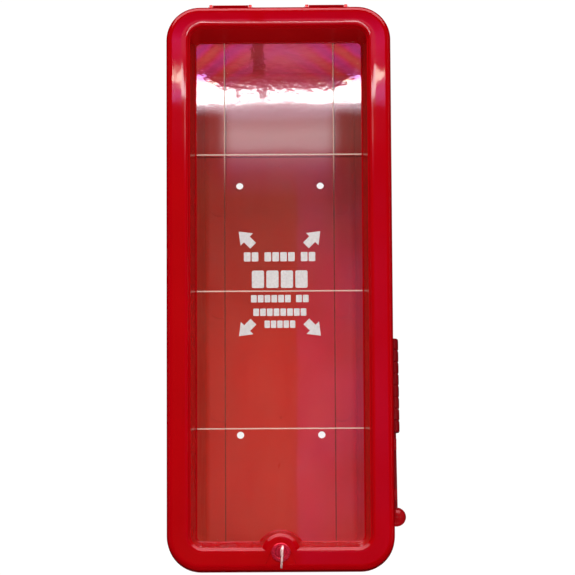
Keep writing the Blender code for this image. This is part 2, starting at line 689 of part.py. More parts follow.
def hammer_bar(name, grow, top, bottom):
    """The shank's bar between two heights, or with grow a socket for it."""
    middle = (top + bottom) / 2
    half = Vector((SHANK_THICK / 2 + grow, SHANK_W / 2 + grow, (top - bottom) / 2))
    bar = box(name, -half, half)
    bar.location = (hammer_x(middle), y_at(HAMMER_DEPTH), middle)
    bar.rotation_euler = (0, -HAMMER_LEAN, 0)
    return bar


def hammer_ball(finish, parent):
    bm = bmesh.new()
    bmesh.ops.create_uvsphere(bm, u_segments=18, v_segments=10, radius=BALL_R)
    body = smooth(object_from("hammer_ball", bm))
    body.location = (BALL_X, y_at(HAMMER_DEPTH), BALL_Z)
    cut(body, hammer_bar("ball_socket", GAP, BALL_Z + 0.02, BALL_Z + BALL_R - SHANK_IN_BALL - GAP))
    return keep(body, finish, parent)


def hammer_clip(name, z, finish):
    """A riveted base and a hollow stem with two jaws, open towards the right."""
    stop = hammer_x(z) - SHANK_THICK / 2 - 0.0004
    jaw = SHANK_W / 2 + GAP
    outer = jaw + CLIP_ARM
    base_in = CLIP_SEAT_X + GAP
    base_out = base_in + CLIP_BASE
    half_base = CLIP_BASE_W / 2
    right = [
        (base_in, half_base),
        (base_out, half_base),
        (base_out, outer),
        (CLIP_TIP_X - 0.0006, outer),
        (CLIP_TIP_X, outer - 0.0006),
        (CLIP_TIP_X, jaw + 0.0004),
        (CLIP_TIP_X - 0.0005, jaw),
        (stop, jaw),
    ]
    shape = right + [(x, -y) for x, y in reversed(right)]
    hollow = [(base_out, -jaw), (base_out, jaw), (stop - 0.0020, jaw), (stop - 0.0020, -jaw)]
    body = plate(name, [shape[::-1], hollow], CLIP_H, (0, y_at(HAMMER_DEPTH), z), X, Y)
    for end in (-1, 1):
        start = (CLIP_SEAT_X - 0.002, y_at(HAMMER_DEPTH) + end * RIVET_Y, z)
        cut(body, cone("clip_rivet_hole", start, X, 0.008, RIVET_R + GAP, sides=12))
    return keep(body, finish)


# ---------------------------------------------------------------- assembly


def main():
    red = material("moulded_red", RED, 0.30)
    steel = material("plated_steel", STEEL, 0.30, metallic=1.0)
    lock_metal = material("lock_metal", (0.72, 0.71, 0.70), 0.22, metallic=1.0)
    cover_pivot = pivot("cover_pivot", (0, y_at(HINGE_DEPTH), HINGE_Z))
    lock_pivot = pivot("lock_pivot", (0, y_at(0), LOCK_Z), cover_pivot)
    key_pivot = pivot("key_pivot", (KEY_X, y_at(0), LOCK_Z), lock_pivot)
    hammer_pivot = pivot("hammer_pivot", (BALL_X, y_at(HAMMER_DEPTH), BALL_Z))

    tub()
    for word, side in (("left", -1), ("right", 1)):
        hinge_pin(f"hinge_pin_{word}", side, steel)
    keeper(steel)
    for word, side in (("left", -1), ("right", 1)):
        head_at = (side * KEEPER_RIVET_X, y_at(RIM_FRONT) - 2 * GAP - KEEPER_THICK, KEEPER_RIVET_Z)
        rivet(f"keeper_rivet_{word}", head_at, -Y, KEEPER_THICK + WALL + 3 * GAP, True, steel)
    for word, z in zip(("upper", "lower"), CLIP_Z):
        hammer_clip(f"hammer_clip_{word}", z, red)
        for place, end in (("front", -1), ("rear", 1)):
            head_at = (CLIP_SEAT_X + 2 * GAP + CLIP_BASE, y_at(HAMMER_DEPTH) + end * RIVET_Y, z)
            rivet(f"clip_rivet_{word}_{place}", head_at, X, CLIP_RIVET_GRIP, False, steel)

    cover_frame(cover_pivot)
    window_panel(cover_pivot)
    for word, places in screw_places().items():
        retainer(word, places, red, cover_pivot)
        for i, (x, z) in enumerate(places, 1):
            retainer_screw(f"retainer_screw_{word}_{i}", x, z, steel, cover_pivot)
    lock_body(lock_metal, cover_pivot)
    washer_at = WALL + GAP
    lock_ring("lock_washer", WASHER_R, washer_at, WASHER_THICK, 32, steel, cover_pivot)
    lock_ring("lock_nut", NUT_R, washer_at + WASHER_THICK + GAP, NUT_THICK, 6, steel, cover_pivot)
    lock_plug(lock_metal, lock_pivot)
    cam(steel, lock_pivot)
    cam_screw(steel, lock_pivot)
    key(lock_metal, key_pivot)

    hammer_grip(red, hammer_pivot)
    keep(hammer_bar("hammer_shank", 0, SHANK_TOP, BALL_Z + BALL_R - SHANK_IN_BALL), red, hammer_pivot)
    hammer_ball(red, hammer_pivot)


main()
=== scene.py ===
"""Looks of the wall-mounted fire-equipment cabinet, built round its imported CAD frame.

Metres, in the CAD's frame: +Z up, the front faces -Y, the wall is at y = 0. The small hidden hardware keeps
its CAD mesh; the rest is rebuilt finely over its CAD solids. A "depth" runs back from the cover's front face.
"""

import math

import bmesh
import bpy
from mathutils import Matrix, Vector


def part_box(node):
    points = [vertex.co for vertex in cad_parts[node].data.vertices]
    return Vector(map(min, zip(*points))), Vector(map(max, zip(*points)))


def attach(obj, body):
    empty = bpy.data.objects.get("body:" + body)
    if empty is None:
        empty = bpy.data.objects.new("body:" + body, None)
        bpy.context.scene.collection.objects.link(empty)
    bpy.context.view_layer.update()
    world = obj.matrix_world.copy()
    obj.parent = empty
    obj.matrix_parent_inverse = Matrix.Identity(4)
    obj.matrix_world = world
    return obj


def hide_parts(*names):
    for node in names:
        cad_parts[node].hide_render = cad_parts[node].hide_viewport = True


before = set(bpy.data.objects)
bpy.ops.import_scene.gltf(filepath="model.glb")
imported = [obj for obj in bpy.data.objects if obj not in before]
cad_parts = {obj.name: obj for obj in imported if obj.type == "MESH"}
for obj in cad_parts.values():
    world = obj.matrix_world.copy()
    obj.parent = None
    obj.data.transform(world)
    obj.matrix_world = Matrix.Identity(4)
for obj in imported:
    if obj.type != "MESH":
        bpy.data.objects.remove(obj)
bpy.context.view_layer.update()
X, Y, Z = Vector((1, 0, 0)), Vector((0, 1, 0)), Vector((0, 0, 1))
SIDES = {-1: "left", 1: "right"}


def middle_of(node):
    low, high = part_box(node)
    return (low + high) / 2


# ---------- sizes read from the frame

COVER_LOW, COVER_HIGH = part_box("cover_frame")
PANEL_LOW, PANEL_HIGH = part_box("window_panel")
TUB_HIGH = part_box("tub")[1]
FRONT = COVER_LOW.y
DEPTH = TUB_HIGH.y - FRONT
COVER_HALF_W, COVER_HALF_H = COVER_HIGH.x, -COVER_LOW.z
LOCK_AT = middle_of("lock_body")
HINGE_AT = middle_of("hinge_pin_right")
HAMMER_Y = middle_of("hammer_ball").y
RETAINER_SCREWS = sorted(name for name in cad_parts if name.startswith("retainer_screw"))

# ---------- sizes of the mouldings' detail

GAP = 0.0003  # between pieces that touch
WALL = 0.0026
CORNER_STEPS, LOBE_STEPS = 14, 30
COVER_R, SKIRT_DEPTH, SKIRT_DRAFT, SKIRT_LIFT, EDGE_R = 0.0365, 0.0440, 0.0006, 0.0014, 0.0055
BORDER_X, BORDER_Z, FACE_R = 0.0216, 0.0197, 0.018  # the flat face round the recess
SINK, SINK_WIDE = 0.00010, 0.005  # the face sinks a little before it turns into the recess
BEAD_R, STEP_R = 0.0031, 0.0008  # the recess's rounded edge and the small step at its foot
LIP_X, LIP_Z, WINDOW_R = 0.0044, 0.0047, 0.005  # how far the lip covers the panel's edges
LIP_DEPTH, LIP_THICK, BOSS_R, BOSS_BORE_R = 0.0335, 0.0018, 0.0031, 0.0014
LEDGE_HALF_W, LEDGE_HALF_H, LEDGE_R = 0.1040, 0.2860, 0.010
LOBE_FACE_R, LOBE_WINDOW_R, LOBE_SPAN = 0.0160, 0.0272, 0.034
LOCK_NOTCH_R, BODY_R = 0.0205, 0.0090
RIM_FRONT, RIM_HALF_W, RIM_HALF_H, RIM_R, RIM_LIP = 0.0404, 0.1175, 0.3010, 0.033, 0.0086
MOUTH_HALF_W, MOUTH_TOP, MOUTH_BOTTOM, MOUTH_R = 0.1040, 0.2790, -0.2755, 0.022
BACK_HALF_W, BACK_HALF_H, BACK_R, BACK_THICK = 0.0870, 0.2705, 0.018, 0.0030
SCREW_HOLE_R, SCREW_HOLE_X, SCREW_HOLE_Z = 0.0040, 0.0450, 0.1400
PAD_R, PAD_X, PAD_Z = 0.0095, 0.0680, (0.1150, 0.0, -0.1160)
GATE_Z = (0.1620, -0.1200)
PIN_R, KNUCKLE_R, EAR_THICK, PIN_HEAD = 0.0025, 0.0050, 0.0035, 0.0009
CLIP_SEAT_X, CLIP_SEAT_HALF, RIVET_R, RIVET_Y = 0.1040, 0.0160, 0.0015, 0.0105
SCORE_X, SCORE_Z, SCORE_DEEP = 0.0590, (0.1485, -0.0010, -0.1500), 0.0005


def y_at(depth):
    return FRONT + depth


# ---------- mesh helpers


def new_object(name, data):
    obj = bpy.data.objects.new(name, data)
    bpy.context.scene.collection.objects.link(obj)
    return obj


def evaluated(obj):
    """A copy of obj's mesh with its modifiers applied."""
    bpy.context.view_layer.update()
    return bpy.data.meshes.new_from_object(obj.evaluated_get(bpy.context.evaluated_depsgraph_get()))


def pointing(start, direction):
    """The matrix that takes the origin to start and +Z to direction."""
    turn = Z.rotation_difference(Vector(direction)).to_matrix().to_4x4()
    return Matrix.Translation(start) @ turn


def shade(mesh):
    """Smooth, with sharp edges where faces meet at more than 32 degrees."""
    mesh.shade_smooth()
    mesh.set_sharp_from_angle(angle=math.radians(32))


def mesh_object(name, bm):
    bmesh.ops.recalc_face_normals(bm, faces=bm.faces)
    mesh = bpy.data.meshes.new(name)
    bm.to_mesh(mesh)
    bm.free()
    shade(mesh)
    return new_object(name, mesh)


def baked(obj):
    """Applies obj's modifiers and its transform, so that its mesh is in the CAD's frame."""
    mesh = evaluated(obj)
    mesh.transform(obj.matrix_world)
    obj.modifiers.clear()
    obj.data = mesh
    obj.matrix_world = Matrix.Identity(4)
    shade(mesh)
    return obj


def combine(target, tools, operation):
    """Cuts tools from target, or joins them to it, and removes them."""
    for tool in tools:
        step = target.modifiers.new("combine", "BOOLEAN")
        step.operation = operation
        step.solver = "MANIFOLD"
        step.object = tool
    baked(target)
    for tool in tools:
        bpy.data.objects.remove(tool, do_unlink=True)


def cylinder(start, direction, length, radius, end_radius=None, sides=48):
    bm = bmesh.new()
    ends = {"radius1": radius, "radius2": radius if end_radius is None else end_radius}
    bmesh.ops.create_cone(bm, cap_ends=True, segments=sides, depth=length, **ends)
    place = pointing(start, direction) @ Matrix.Translation((0, 0, length / 2))
    bmesh.ops.transform(bm, matrix=place, verts=bm.verts)
    return mesh_object("tool", bm)


def block(name, low, high, edge=0.0):
    """A box with its edges rounded by edge."""
    low, high = Vector(low), Vector(high)
    bm = bmesh.new()
    bmesh.ops.create_cube(bm, size=1.0)
    bmesh.ops.scale(bm, vec=high - low, verts=bm.verts)
    bmesh.ops.translate(bm, vec=(low + high) / 2, verts=bm.verts)
    if edge:
        bmesh.ops.bevel(bm, geom=bm.edges[:], offset=edge, segments=3, profile=0.5, affect="EDGES")
    return mesh_object(name, bm)


def turned(name, stations, start, direction, sides=48, squash=(1, 1)):
    """A turned piece from (height, radius) stations along direction; squash scales its two radii."""
    bm = bmesh.new()
    rings = []
    for height, radius in stations:
        angles = [0.0] if radius == 0 else [2 * math.pi * i / sides for i in range(sides)]
        ring = [(radius * squash[0] * math.cos(a), radius * squash[1] * math.sin(a), height) for a in angles]
        rings.append([bm.verts.new(point) for point in ring])
    for here, there in zip(rings, rings[1:]):
        for i in range(sides):
            j = (i + 1) % sides
            corners = [here[i % len(here)], here[j % len(here)], there[j % len(there)], there[i % len(there)]]
            bm.faces.new(dict.fromkeys(corners))
    bmesh.ops.transform(bm, matrix=pointing(start, direction), verts=bm.verts)
    return mesh_object(name, bm)


def plate(name, loops, thickness, origin, across, up, edge=0.0002):
    """A flat plate centred on origin with rounded edges: the first loop is its outline, the rest holes."""
    curve = bpy.data.curves.new(name, "CURVE")
    curve.dimensions = "2D"
    curve.fill_mode = "BOTH"
    curve.extrude = thickness / 2 - edge
    curve.bevel_depth = edge
    curve.bevel_resolution = 1
    curve.offset = -edge
    for loop in loops:
        spline = curve.splines.new("POLY")
        spline.points.add(len(loop) - 1)
        for point, (u, v) in zip(spline.points, loop):
            point.co = (u, v, 0, 1)
        spline.use_cyclic_u = True
    guide = new_object(name, curve)
    mesh = evaluated(guide)
    bpy.data.objects.remove(guide, do_unlink=True)
    bm = bmesh.new()
    bm.from_mesh(mesh)
    bmesh.ops.remove_doubles(bm, verts=bm.verts, dist=1e-6)
    axes = Matrix((across, up, across.cross(up))).transposed().to_4x4()
    bmesh.ops.transform(bm, matrix=Matrix.Translation(origin) @ axes, verts=bm.verts)
    return mesh_object(name, bm)


def arc(centre, radius, start, end, steps):
    """Points on an arc from start to end, in degrees, both ends included."""
    angles = [math.radians(start + (end - start) * i / steps) for i in range(steps + 1)]
    return [(centre[0] + radius * math.cos(a), centre[1] + radius * math.sin(a)) for a in angles]


def rounded(half_u, half_v, radius, steps=CORNER_STEPS, centre=(0, 0)):
    """A rounded rectangle, anticlockwise from its lower right corner."""
    points = []
    for i, (su, sv) in enumerate(((1, -1), (1, 1), (-1, 1), (-1, -1))):
        middle = (centre[0] + su * (half_u - radius), centre[1] + sv * (half_v - radius))
        points += arc(middle, radius, 90 * i - 90, 90 * i, steps)
    return points


def outline(half_w, top, bottom, radius, lobe=0.0):
    """A rounded rectangle in (x, z) with a round lobe about the lock standing up from its lower edge. All
    outlines have the same number of points, so that a loft can join any two."""
    points = rounded(half_w, (top - bottom) / 2, radius, centre=(0, (top + bottom) / 2))
    rise = bottom - LOCK_AT.z
    if lobe > abs(rise):
        foot = max(0.0, math.degrees(math.asin(rise / lobe)))
        crest = arc((0, LOCK_AT.z), lobe, 180 - foot, foot, LOBE_STEPS)
    else:
        crest = [(x, bottom) for x, _ in arc((0, 0), LOBE_FACE_R, 180, 0, LOBE_STEPS)]
    return points + [(-LOBE_SPAN, bottom)] + crest + [(LOBE_SPAN, bottom)]


def loft(name, rings, capped):
    """Faces between rings of (depth, outline); the ends are capped, or else the last ring joins the first."""
    bm = bmesh.new()
    made = [[bm.verts.new((x, y_at(depth), z)) for x, z in ring] for depth, ring in rings]
    pairs = list(zip(made, made[1:]))
    if capped:
        bm.faces.new(made[0])
        bm.faces.new(made[-1])
    else:
        pairs.append((made[-1], made[0]))
    for here, there in pairs:
        for i, point in enumerate(here):
            j = (i + 1) % len(here)
            bm.faces.new((point, here[j], there[j], there[i]))
    return mesh_object(name, bm)


def fillet(start, radius, steps, curls_in):
    """(inset, depth) stations of a quarter round from start: one that curls in leaves along the inset and
    ends along the depth, the other leaves along the depth and ends along the inset."""
    stations = []
    for i in range(1, steps + 1):
        a = math.radians(90 * i / steps)
        along, across = radius * math.sin(a), radius * (1 - math.cos(a))
        inset, depth = (along, across) if curls_in else (across, along)
        stations.append((start[0] + inset, start[1] + depth))
    return stations


# ---------- node helpers


def add(tree, kind, inputs=None, **settings):
    """A new shader node; an input's value is a number, a colour or another node's output."""
    made = tree.nodes.new(f"ShaderNode{kind}")
    for key, value in settings.items():
        setattr(made, key, value)
    for key, value in (inputs or {}).items():
        if isinstance(value, bpy.types.NodeSocket):
            tree.links.new(value, made.inputs[key])
        else:
            made.inputs[key].default_value = value
    return made


def new_material(name):
    """An empty material, its tree and the object coordinates in it."""
    made = bpy.data.materials.new(name)
    made.use_nodes = True
    tree = made.node_tree
    tree.nodes.clear()
    return made, tree, add(tree, "TexCoord").outputs["Object"]


def output(tree, shader):
    add(tree, "OutputMaterial", {"Surface": shader})


def principled(tree, colour, roughness, **inputs):
    """Ends tree in a principled surface; inputs are its other sockets, with _ for a space."""
    inputs = {name.replace("_", " "): value for name, value in inputs.items()}
    inputs |= {"Base Color": colour, "Roughness": roughness}
    output(tree, add(tree, "BsdfPrincipled", inputs).outputs[0])


def mixed(tree, share, first, second):
    """The first shader, with share of the second."""
    return add(tree, "MixShader", {0: share, 1: first, 2: second}).outputs[0]


def glow(tree, colour, strength):
    return add(tree, "Emission", {"Color": colour, "Strength": strength}).outputs[0]


def axes_of(tree, place):
    split = add(tree, "SeparateXYZ", {"Vector": place}).outputs
    return split["X"], split["Y"], split["Z"]


def noise(tree, place, scale, detail=2.0, rough=0.5, distortion=0.0):
    inputs = {"Vector": place, "Scale": scale, "Detail": detail, "Roughness": rough, "Distortion": distortion}
    return add(tree, "TexNoise", inputs).outputs["Fac"]


def stretched(tree, place, scale):
    return add(tree, "Mapping", {"Vector": place, "Scale": scale}).outputs["Vector"]


def spread(tree, value, low, high, from_low=0.3, from_high=0.7):
    """value's middle range spread over low to high."""
    inputs = {"Value": value, "From Min": from_low, "From Max": from_high, "To Min": low, "To Max": high}
    return add(tree, "MapRange", inputs, clamp=True).outputs["Result"]


def blend(tree, amount, first, second, mode="MIX"):
    first, second = ((*value, 1.0) if isinstance(value, tuple) else value for value in (first, second))
    made = add(tree, "Mix", {0: amount, 6: first, 7: second}, data_type="RGBA", blend_type=mode)
    return made.outputs[2]


def bump(tree, height, distance, normal=None):
    inputs = {"Height": height, "Distance": distance}
    if normal is not None:
        inputs["Normal"] = normal
    return add(tree, "Bump", inputs).outputs["Normal"]


def maths(tree, operation, first, second=0.0, third=0.0):
    made = add(tree, "Math", {0: first, 1: second, 2: third}, operation=operation)
    return made.outputs["Value"]


def times(tree, *values):
    product = values[0]
    for value in values[1:]:
        product = maths(tree, "MULTIPLY", product, value)
    return product


def minus(tree, first, second):
    return maths(tree, "SUBTRACT", first, second)


def scaled(tree, value, factor, offset):
    """value times factor plus offset."""
    return maths(tree, "MULTIPLY_ADD", value, factor, offset)


def smooth(tree, value, start, end):
    """0 below start to 1 above end, or the other way round if end is lower."""
    inputs = {"Value": value, "From Min": start, "From Max": end}
    return add(tree, "MapRange", inputs, interpolation_type="SMOOTHSTEP").outputs["Result"]


# ---------- materials

WALLS_DULLER = 0.16  # roughness that the walls have on top of the faces'


def moulded(name, colour, deep, roughness, wave, grain, specular=0.5):
    """Injection-moulded plastic: uneven pigment, smears that dull the gloss, slow waviness and fine grain.
    The walls that were drawn out of the mould are duller than the faces."""
    made, tree, place = new_material(name)
    facing = maths(tree, "ABSOLUTE", axes_of(tree, add(tree, "TexCoord").outputs["Normal"])[1])
    pigment = spread(tree, noise(tree, place, 11.0, 4.0, 0.55), 0.0, 1.0)
    flecks = spread(tree, noise(tree, place, 700.0, 3.0, 0.7), 0.0, 0.25, 0.55, 0.75)
    tone = blend(tree, pigment, deep, colour)
    tone = blend(tree, flecks, tone, deep)
    smears = noise(tree, stretched(tree, place, (1.0, 1.0, 0.25)), 60.0, 6.0, 0.65, 0.6)
    dull = spread(tree, smears, roughness * 0.8, roughness * 1.35)
    walls = smooth(tree, facing, 0.45, 0.30)
    dull = scaled(tree, walls, WALLS_DULLER, dull)
    slow = bump(tree, noise(tree, place, 16.0, 1.0), wave)
    ripple = bump(tree, noise(tree, place, 60.0, 2.0), wave * 0.18, slow)
    fine = bump(tree, noise(tree, place, 1400.0, 2.0), grain, ripple)
    principled(tree, tone, dull, Normal=fine, Specular_IOR_Level=specular)
    return made


def plated(name, colour, stain, roughness, streaks, metallic=1.0):
    """Plated metal with drawn streaks along streaks' long axis, faint stains and fine scratches."""
    made, tree, place = new_material(name)
    stains = spread(tree, noise(tree, place, 260.0, 5.0, 0.6), 0.0, 0.6, 0.45, 0.75)
    tone = blend(tree, stains, colour, stain)
    lines = noise(tree, stretched(tree, place, streaks), 900.0, 4.0, 0.6)
    dull = spread(tree, lines, roughness * 0.7, roughness * 1.5)
    principled(tree, tone, dull, Metallic=metallic, Normal=bump(tree, lines, 0.00002))
    return made


def groove_masks(tree, x, z):
    """1 on the panel's level score lines, and 1 on the upright ones."""
    half = SCORE_DEEP * 1.25
    upright = maths(tree, "COMPARE", maths(tree, "ABSOLUTE", x), SCORE_X, half)
    level = 0.0
    for height in SCORE_Z:
        level = maths(tree, "MAXIMUM", level, maths(tree, "COMPARE", z, height, half))
    return level, upright


STRESS_FROM, STRESS_FULL = 0.222, 0.236  # heights between which the stress colours come in
RIPPLE_FROM, RIPPLE_FULL = 0.200, 0.214  # and the sheet's ripples
HIGHLIGHT_FROM, HIGHLIGHT_FULL = 0.10, 0.16  # and above which the score lines have a painted shadow beside them, and the upright ones a painted highlight in place of painted shade
SHADOW_X, SHADOW_Z = 0.0013, 0.0028  # how far a score line's shadow falls beside it


def sheet_ripple(tree, place, z):
    """The sheet's normal: slow waves, small unevenness and crazed ripples near its upper end."""
    slow = bump(tree, noise(tree, stretched(tree, place, (1.0, 1.0, 1.4)), 10.0, 1.0), 0.00006)
    uneven = noise(tree, stretched(tree, place, (1.0, 1.0, 1.8)), 130.0, 2.0, 0.6)
    upper = smooth(tree, z, RIPPLE_FROM, RIPPLE_FULL)
    rougher = scaled(tree, upper, 4.0, 1.0)
    ripple = bump(tree, times(tree, uneven, rougher), 0.0000011, slow)
    cells = noise(tree, stretched(tree, place, (1.0, 1.0, 1.3)), 180.0, 1.0, 0.5)
    return bump(tree, times(tree, cells, upper), 0.0000100, ripple)


def stress_colours(tree, place, x, z):
    """Rainbow fringes towards the sheet's upper corners, white elsewhere."""
    off = maths(tree, "ABSOLUTE", x)
    wander = scaled(tree, z, 34.0, noise(tree, place, 16.0, 2.0))
    fringe = scaled(tree, off, 26.0, wander)
    swing = maths(tree, "SINE", times(tree, fringe, 2 * math.pi))
    hue = maths(tree, "FRACT", scaled(tree, swing, 0.17, 0.93))
    stress = add(tree, "CombineColor", {"Red": hue, "Green": 0.65, "Blue": 1.0}, mode="HSV")
    outer = spread(tree, off, 0.25, 1.0, 0.02, 0.06)
    upper = spread(tree, z, 0.0, 1.0, STRESS_FROM, STRESS_FULL)
    corner = times(tree, outer, upper)
    return blend(tree, corner, (1.0, 1.0, 1.0), stress.outputs["Color"])


def clear_sheet():
    """Clear scored plastic. Its outer faces mirror by Fresnel, and the rest goes through with a slight haze.
    The score lines carry painted light: a whitish painted highlight, partly real frosting, on the level lines
    and high on the upright ones, painted shade on the upright ones low on the sheet, and a painted shadow
    beside them near its top."""
    made, tree, place = new_material("clear_scored_plastic")
    x, _, z = axes_of(tree, place)
    ripple = sheet_ripple(tree, place, z)
    rainbow = stress_colours(tree, place, x, z)

    # Painted light on the score lines: painted shade on the upright ones low on the sheet, a painted shadow
    # beside each line high on it, and a whitish painted highlight, partly real frosting, on the level ones
    # and high on the upright ones.
    level, upright = groove_masks(tree, x, z)
    high_on_sheet = smooth(tree, z, HIGHLIGHT_FROM, HIGHLIGHT_FULL)
    dark = times(tree, upright, minus(tree, 1.0, high_on_sheet))
    right, below = minus(tree, x, SHADOW_X), maths(tree, "ADD", z, SHADOW_Z)
    shadow = maths(tree, "MAXIMUM", *groove_masks(tree, right, below))
    dark = maths(tree, "MAXIMUM", dark, times(tree, shadow, high_on_sheet))
    upright_frost_and_highlight = times(tree, upright, scaled(tree, high_on_sheet, 0.28, 0.04))
    frost_and_highlight = maths(tree, "MAXIMUM", times(tree, level, 0.50), upright_frost_and_highlight)

    # The darker tint is the painted shade and painted shadow on the light that goes through; the whitish
    # diffuse colour is frosting and painted highlight.
    tint = blend(tree, dark, (0.99, 0.985, 0.98), (0.60, 0.45, 0.42))
    clear = add(tree, "BsdfTransparent", {"Color": tint}).outputs[0]
    frost_and_highlight_tone = blend(tree, frost_and_highlight, (0.90, 0.54, 0.36), (1.0, 0.95, 0.90))
    frost_haze_and_highlight = add(tree, "BsdfDiffuse", {"Color": frost_and_highlight_tone, "Normal": ripple}).outputs[0]
    smear = noise(tree, stretched(tree, place, (1.0, 1.0, 0.35)), 22.0, 5.0, 0.6, 0.8)
    # The haze is real and random; on the score lines it also carries the frosting and painted highlight.
    haze = maths(tree, "ADD", spread(tree, smear, 0.010, 0.026), frost_and_highlight)

    mirror = add(tree, "BsdfGlossy", {"Color": rainbow, "Roughness": 0.022, "Normal": ripple}).outputs[0]
    edge = add(tree, "Fresnel", {"IOR": 1.56, "Normal": ripple}).outputs["Fac"]
    outside = minus(tree, 1.0, add(tree, "NewGeometry").outputs["Backfacing"])
    both_faces = maths(tree, "MINIMUM", times(tree, edge, 1.9), 0.55)
    shine = times(tree, both_faces, outside)
    output(tree, mixed(tree, shine, mixed(tree, haze, clear, frost_haze_and_highlight), mirror))
    return made


def printed():
    """Screen-printed white ink, a little uneven."""
    made, tree, place = new_material("white_print")
    patchy = spread(tree, noise(tree, place, 420.0, 4.0, 0.6), 0.0, 1.0)
    tone = blend(tree, patchy, (0.56, 0.52, 0.51), (0.68, 0.65, 0.64))
    principled(tree, tone, spread(tree, patchy, 0.35, 0.5), Normal=bump(tree, patchy, 0.00001))
    return made


# name, colour, deep colour, roughness, wave and grain heights, specular
COVER_RED = moulded("cover_red", (0.43, 0.0006, 0.0032), (0.385, 0.0005, 0.0028), 0.030, 9e-5, 1e-7, 0.36)
# The tub's red is paler than the cover's: painted light that makes up for the light its inside lacks behind
# the window.
TUB_RED = moulded("tub_red", (0.69, 0.0110, 0.0050), (0.62, 0.0085, 0.0045), 0.34, 22e-5, 6e-6)
HAMMER_RED = moulded("hammer_red", (0.50, 0.0040, 0.0080), (0.42, 0.0030, 0.0065), 0.22, 10e-5, 3e-6, 0.26)
# The grip and shank are a darker copy of the hammer's red: painted shade for the shade they are in.
GRIP_RED = moulded("grip_red", (0.30, 0.0034, 0.0070), (0.24, 0.0028, 0.0060), 0.26, 10e-5, 4e-6, 0.22)
STRIP_RED = moulded("strip_red", (0.50, 0.0060, 0.0080), (0.42, 0.0045, 0.0065), 0.38, 10e-5, 8e-6)
CLEAR = clear_sheet()
PRINT = printed()
ZINC = plated("zinc_plate", (0.60, 0.60, 0.62), (0.45, 0.43, 0.40), 0.30, (1.0, 1.0, 0.15))
LOCK_PLATE = plated("lock_plate", (0.62, 0.014, 0.045), (0.46, 0.010, 0.032), 0.24, (1.0, 0.2, 1.0), 0.45)
# The key is pale nickel; its pink tint is a painted reflection of the red cover round it.
KEY_PLATE = plated("key_plate", (0.94, 0.66, 0.63), (0.80, 0.50, 0.47), 0.30, (1.0, 0.2, 1.0), 0.45)


def dress(obj, look, body=None, stands_for=()):
    """Gives a new piece its look, hangs it on its body's empty and hides the CAD nodes that it stands for."""
    obj.data.materials.clear()
    obj.data.materials.append(look)
    flats = obj.modifiers.new("flat_faces_stay_flat", "WEIGHTED_NORMAL")
    flats.keep_sharp = True
    if body:
        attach(obj, body)
    if stands_for:
        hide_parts(*stands_for)


# ---------- cover


def cover_ring(inset=0.0, lift=0.0):
    top = COVER_HALF_H - inset
    return outline(COVER_HALF_W - inset, top, -top + lift, COVER_R - inset)


def face_ring(inset=0.0):
    top = COVER_HALF_H - BORDER_Z - inset
    return outline(COVER_HALF_W - BORDER_X - inset, top, -top, FACE_R - inset, LOBE_FACE_R + inset)


def window_ring(inset=0.0):
    top = PANEL_HIGH.z - LIP_Z - inset
    return outline(PANEL_HIGH.x - LIP_X - inset, top, -top, WINDOW_R - inset, LOBE_WINDOW_R + inset)


def cover_rings():
    """The section, from the skirt's end over the face and down the recess to the lip, then back behind."""
    skirt_end, lip_back = 0.0006, LIP_DEPTH + LIP_THICK
    ledge_ring = outline(LEDGE_HALF_W, LEDGE_HALF_H, -LEDGE_HALF_H, LEDGE_R, LOBE_WINDOW_R)
    rings = [
        (SKIRT_DEPTH, cover_ring(skirt_end, SKIRT_LIFT)),
        (SKIRT_DEPTH - skirt_end, cover_ring(0, SKIRT_LIFT)),
        (EDGE_R, cover_ring(SKIRT_DRAFT)),
    ]
    for inset, rise in fillet((0, 0), EDGE_R, 8, curls_in=False):
        rings.append((EDGE_R - rise, cover_ring(SKIRT_DRAFT + inset)))
    rings += [(0, cover_ring(SKIRT_DRAFT + EDGE_R + 0.0008)), (0, face_ring(-SINK_WIDE - 0.0008))]
    rings += [(SINK * share**2, face_ring(-SINK_WIDE * (1 - share))) for share in (0, 0.33, 0.67, 1)]
    bead = fillet((0, SINK), BEAD_R, 7, curls_in=True)
    foot = (BEAD_R + 0.0007, SINK + BEAD_R + 0.0004)
    step = [foot, *fillet(foot, STEP_R, 4, curls_in=True)]
    rings += [(depth, face_ring(inset)) for inset, depth in bead + step]
    ledge = (-0.0009, LIP_DEPTH - 0.0009)
    ledge_end = fillet(ledge, 0.0006, 4, curls_in=False)
    rings += [(depth, window_ring(inset)) for inset, depth in (ledge, *ledge_end)]
    return rings + [
        (LIP_DEPTH - 0.0003, window_ring(-0.0001)),
        (LIP_DEPTH, window_ring(0.0002)),
        (lip_back, window_ring(0.0002)),
        (lip_back, ledge_ring),
        (LIP_DEPTH, ledge_ring),
        (LIP_DEPTH, window_ring(-WALL - 0.0004)),
        (BEAD_R + 0.0030, face_ring(BEAD_R - WALL + 0.0015)),
        (WALL, face_ring(-0.0012)),
        (WALL, cover_ring(WALL + 0.0026)),
        (WALL + 0.0020, cover_ring(WALL + SKIRT_DRAFT)),
        (SKIRT_DEPTH - 0.0003, cover_ring(WALL, SKIRT_LIFT)),
        (SKIRT_DEPTH, cover_ring(WALL - 0.0003, SKIRT_LIFT)),
    ]


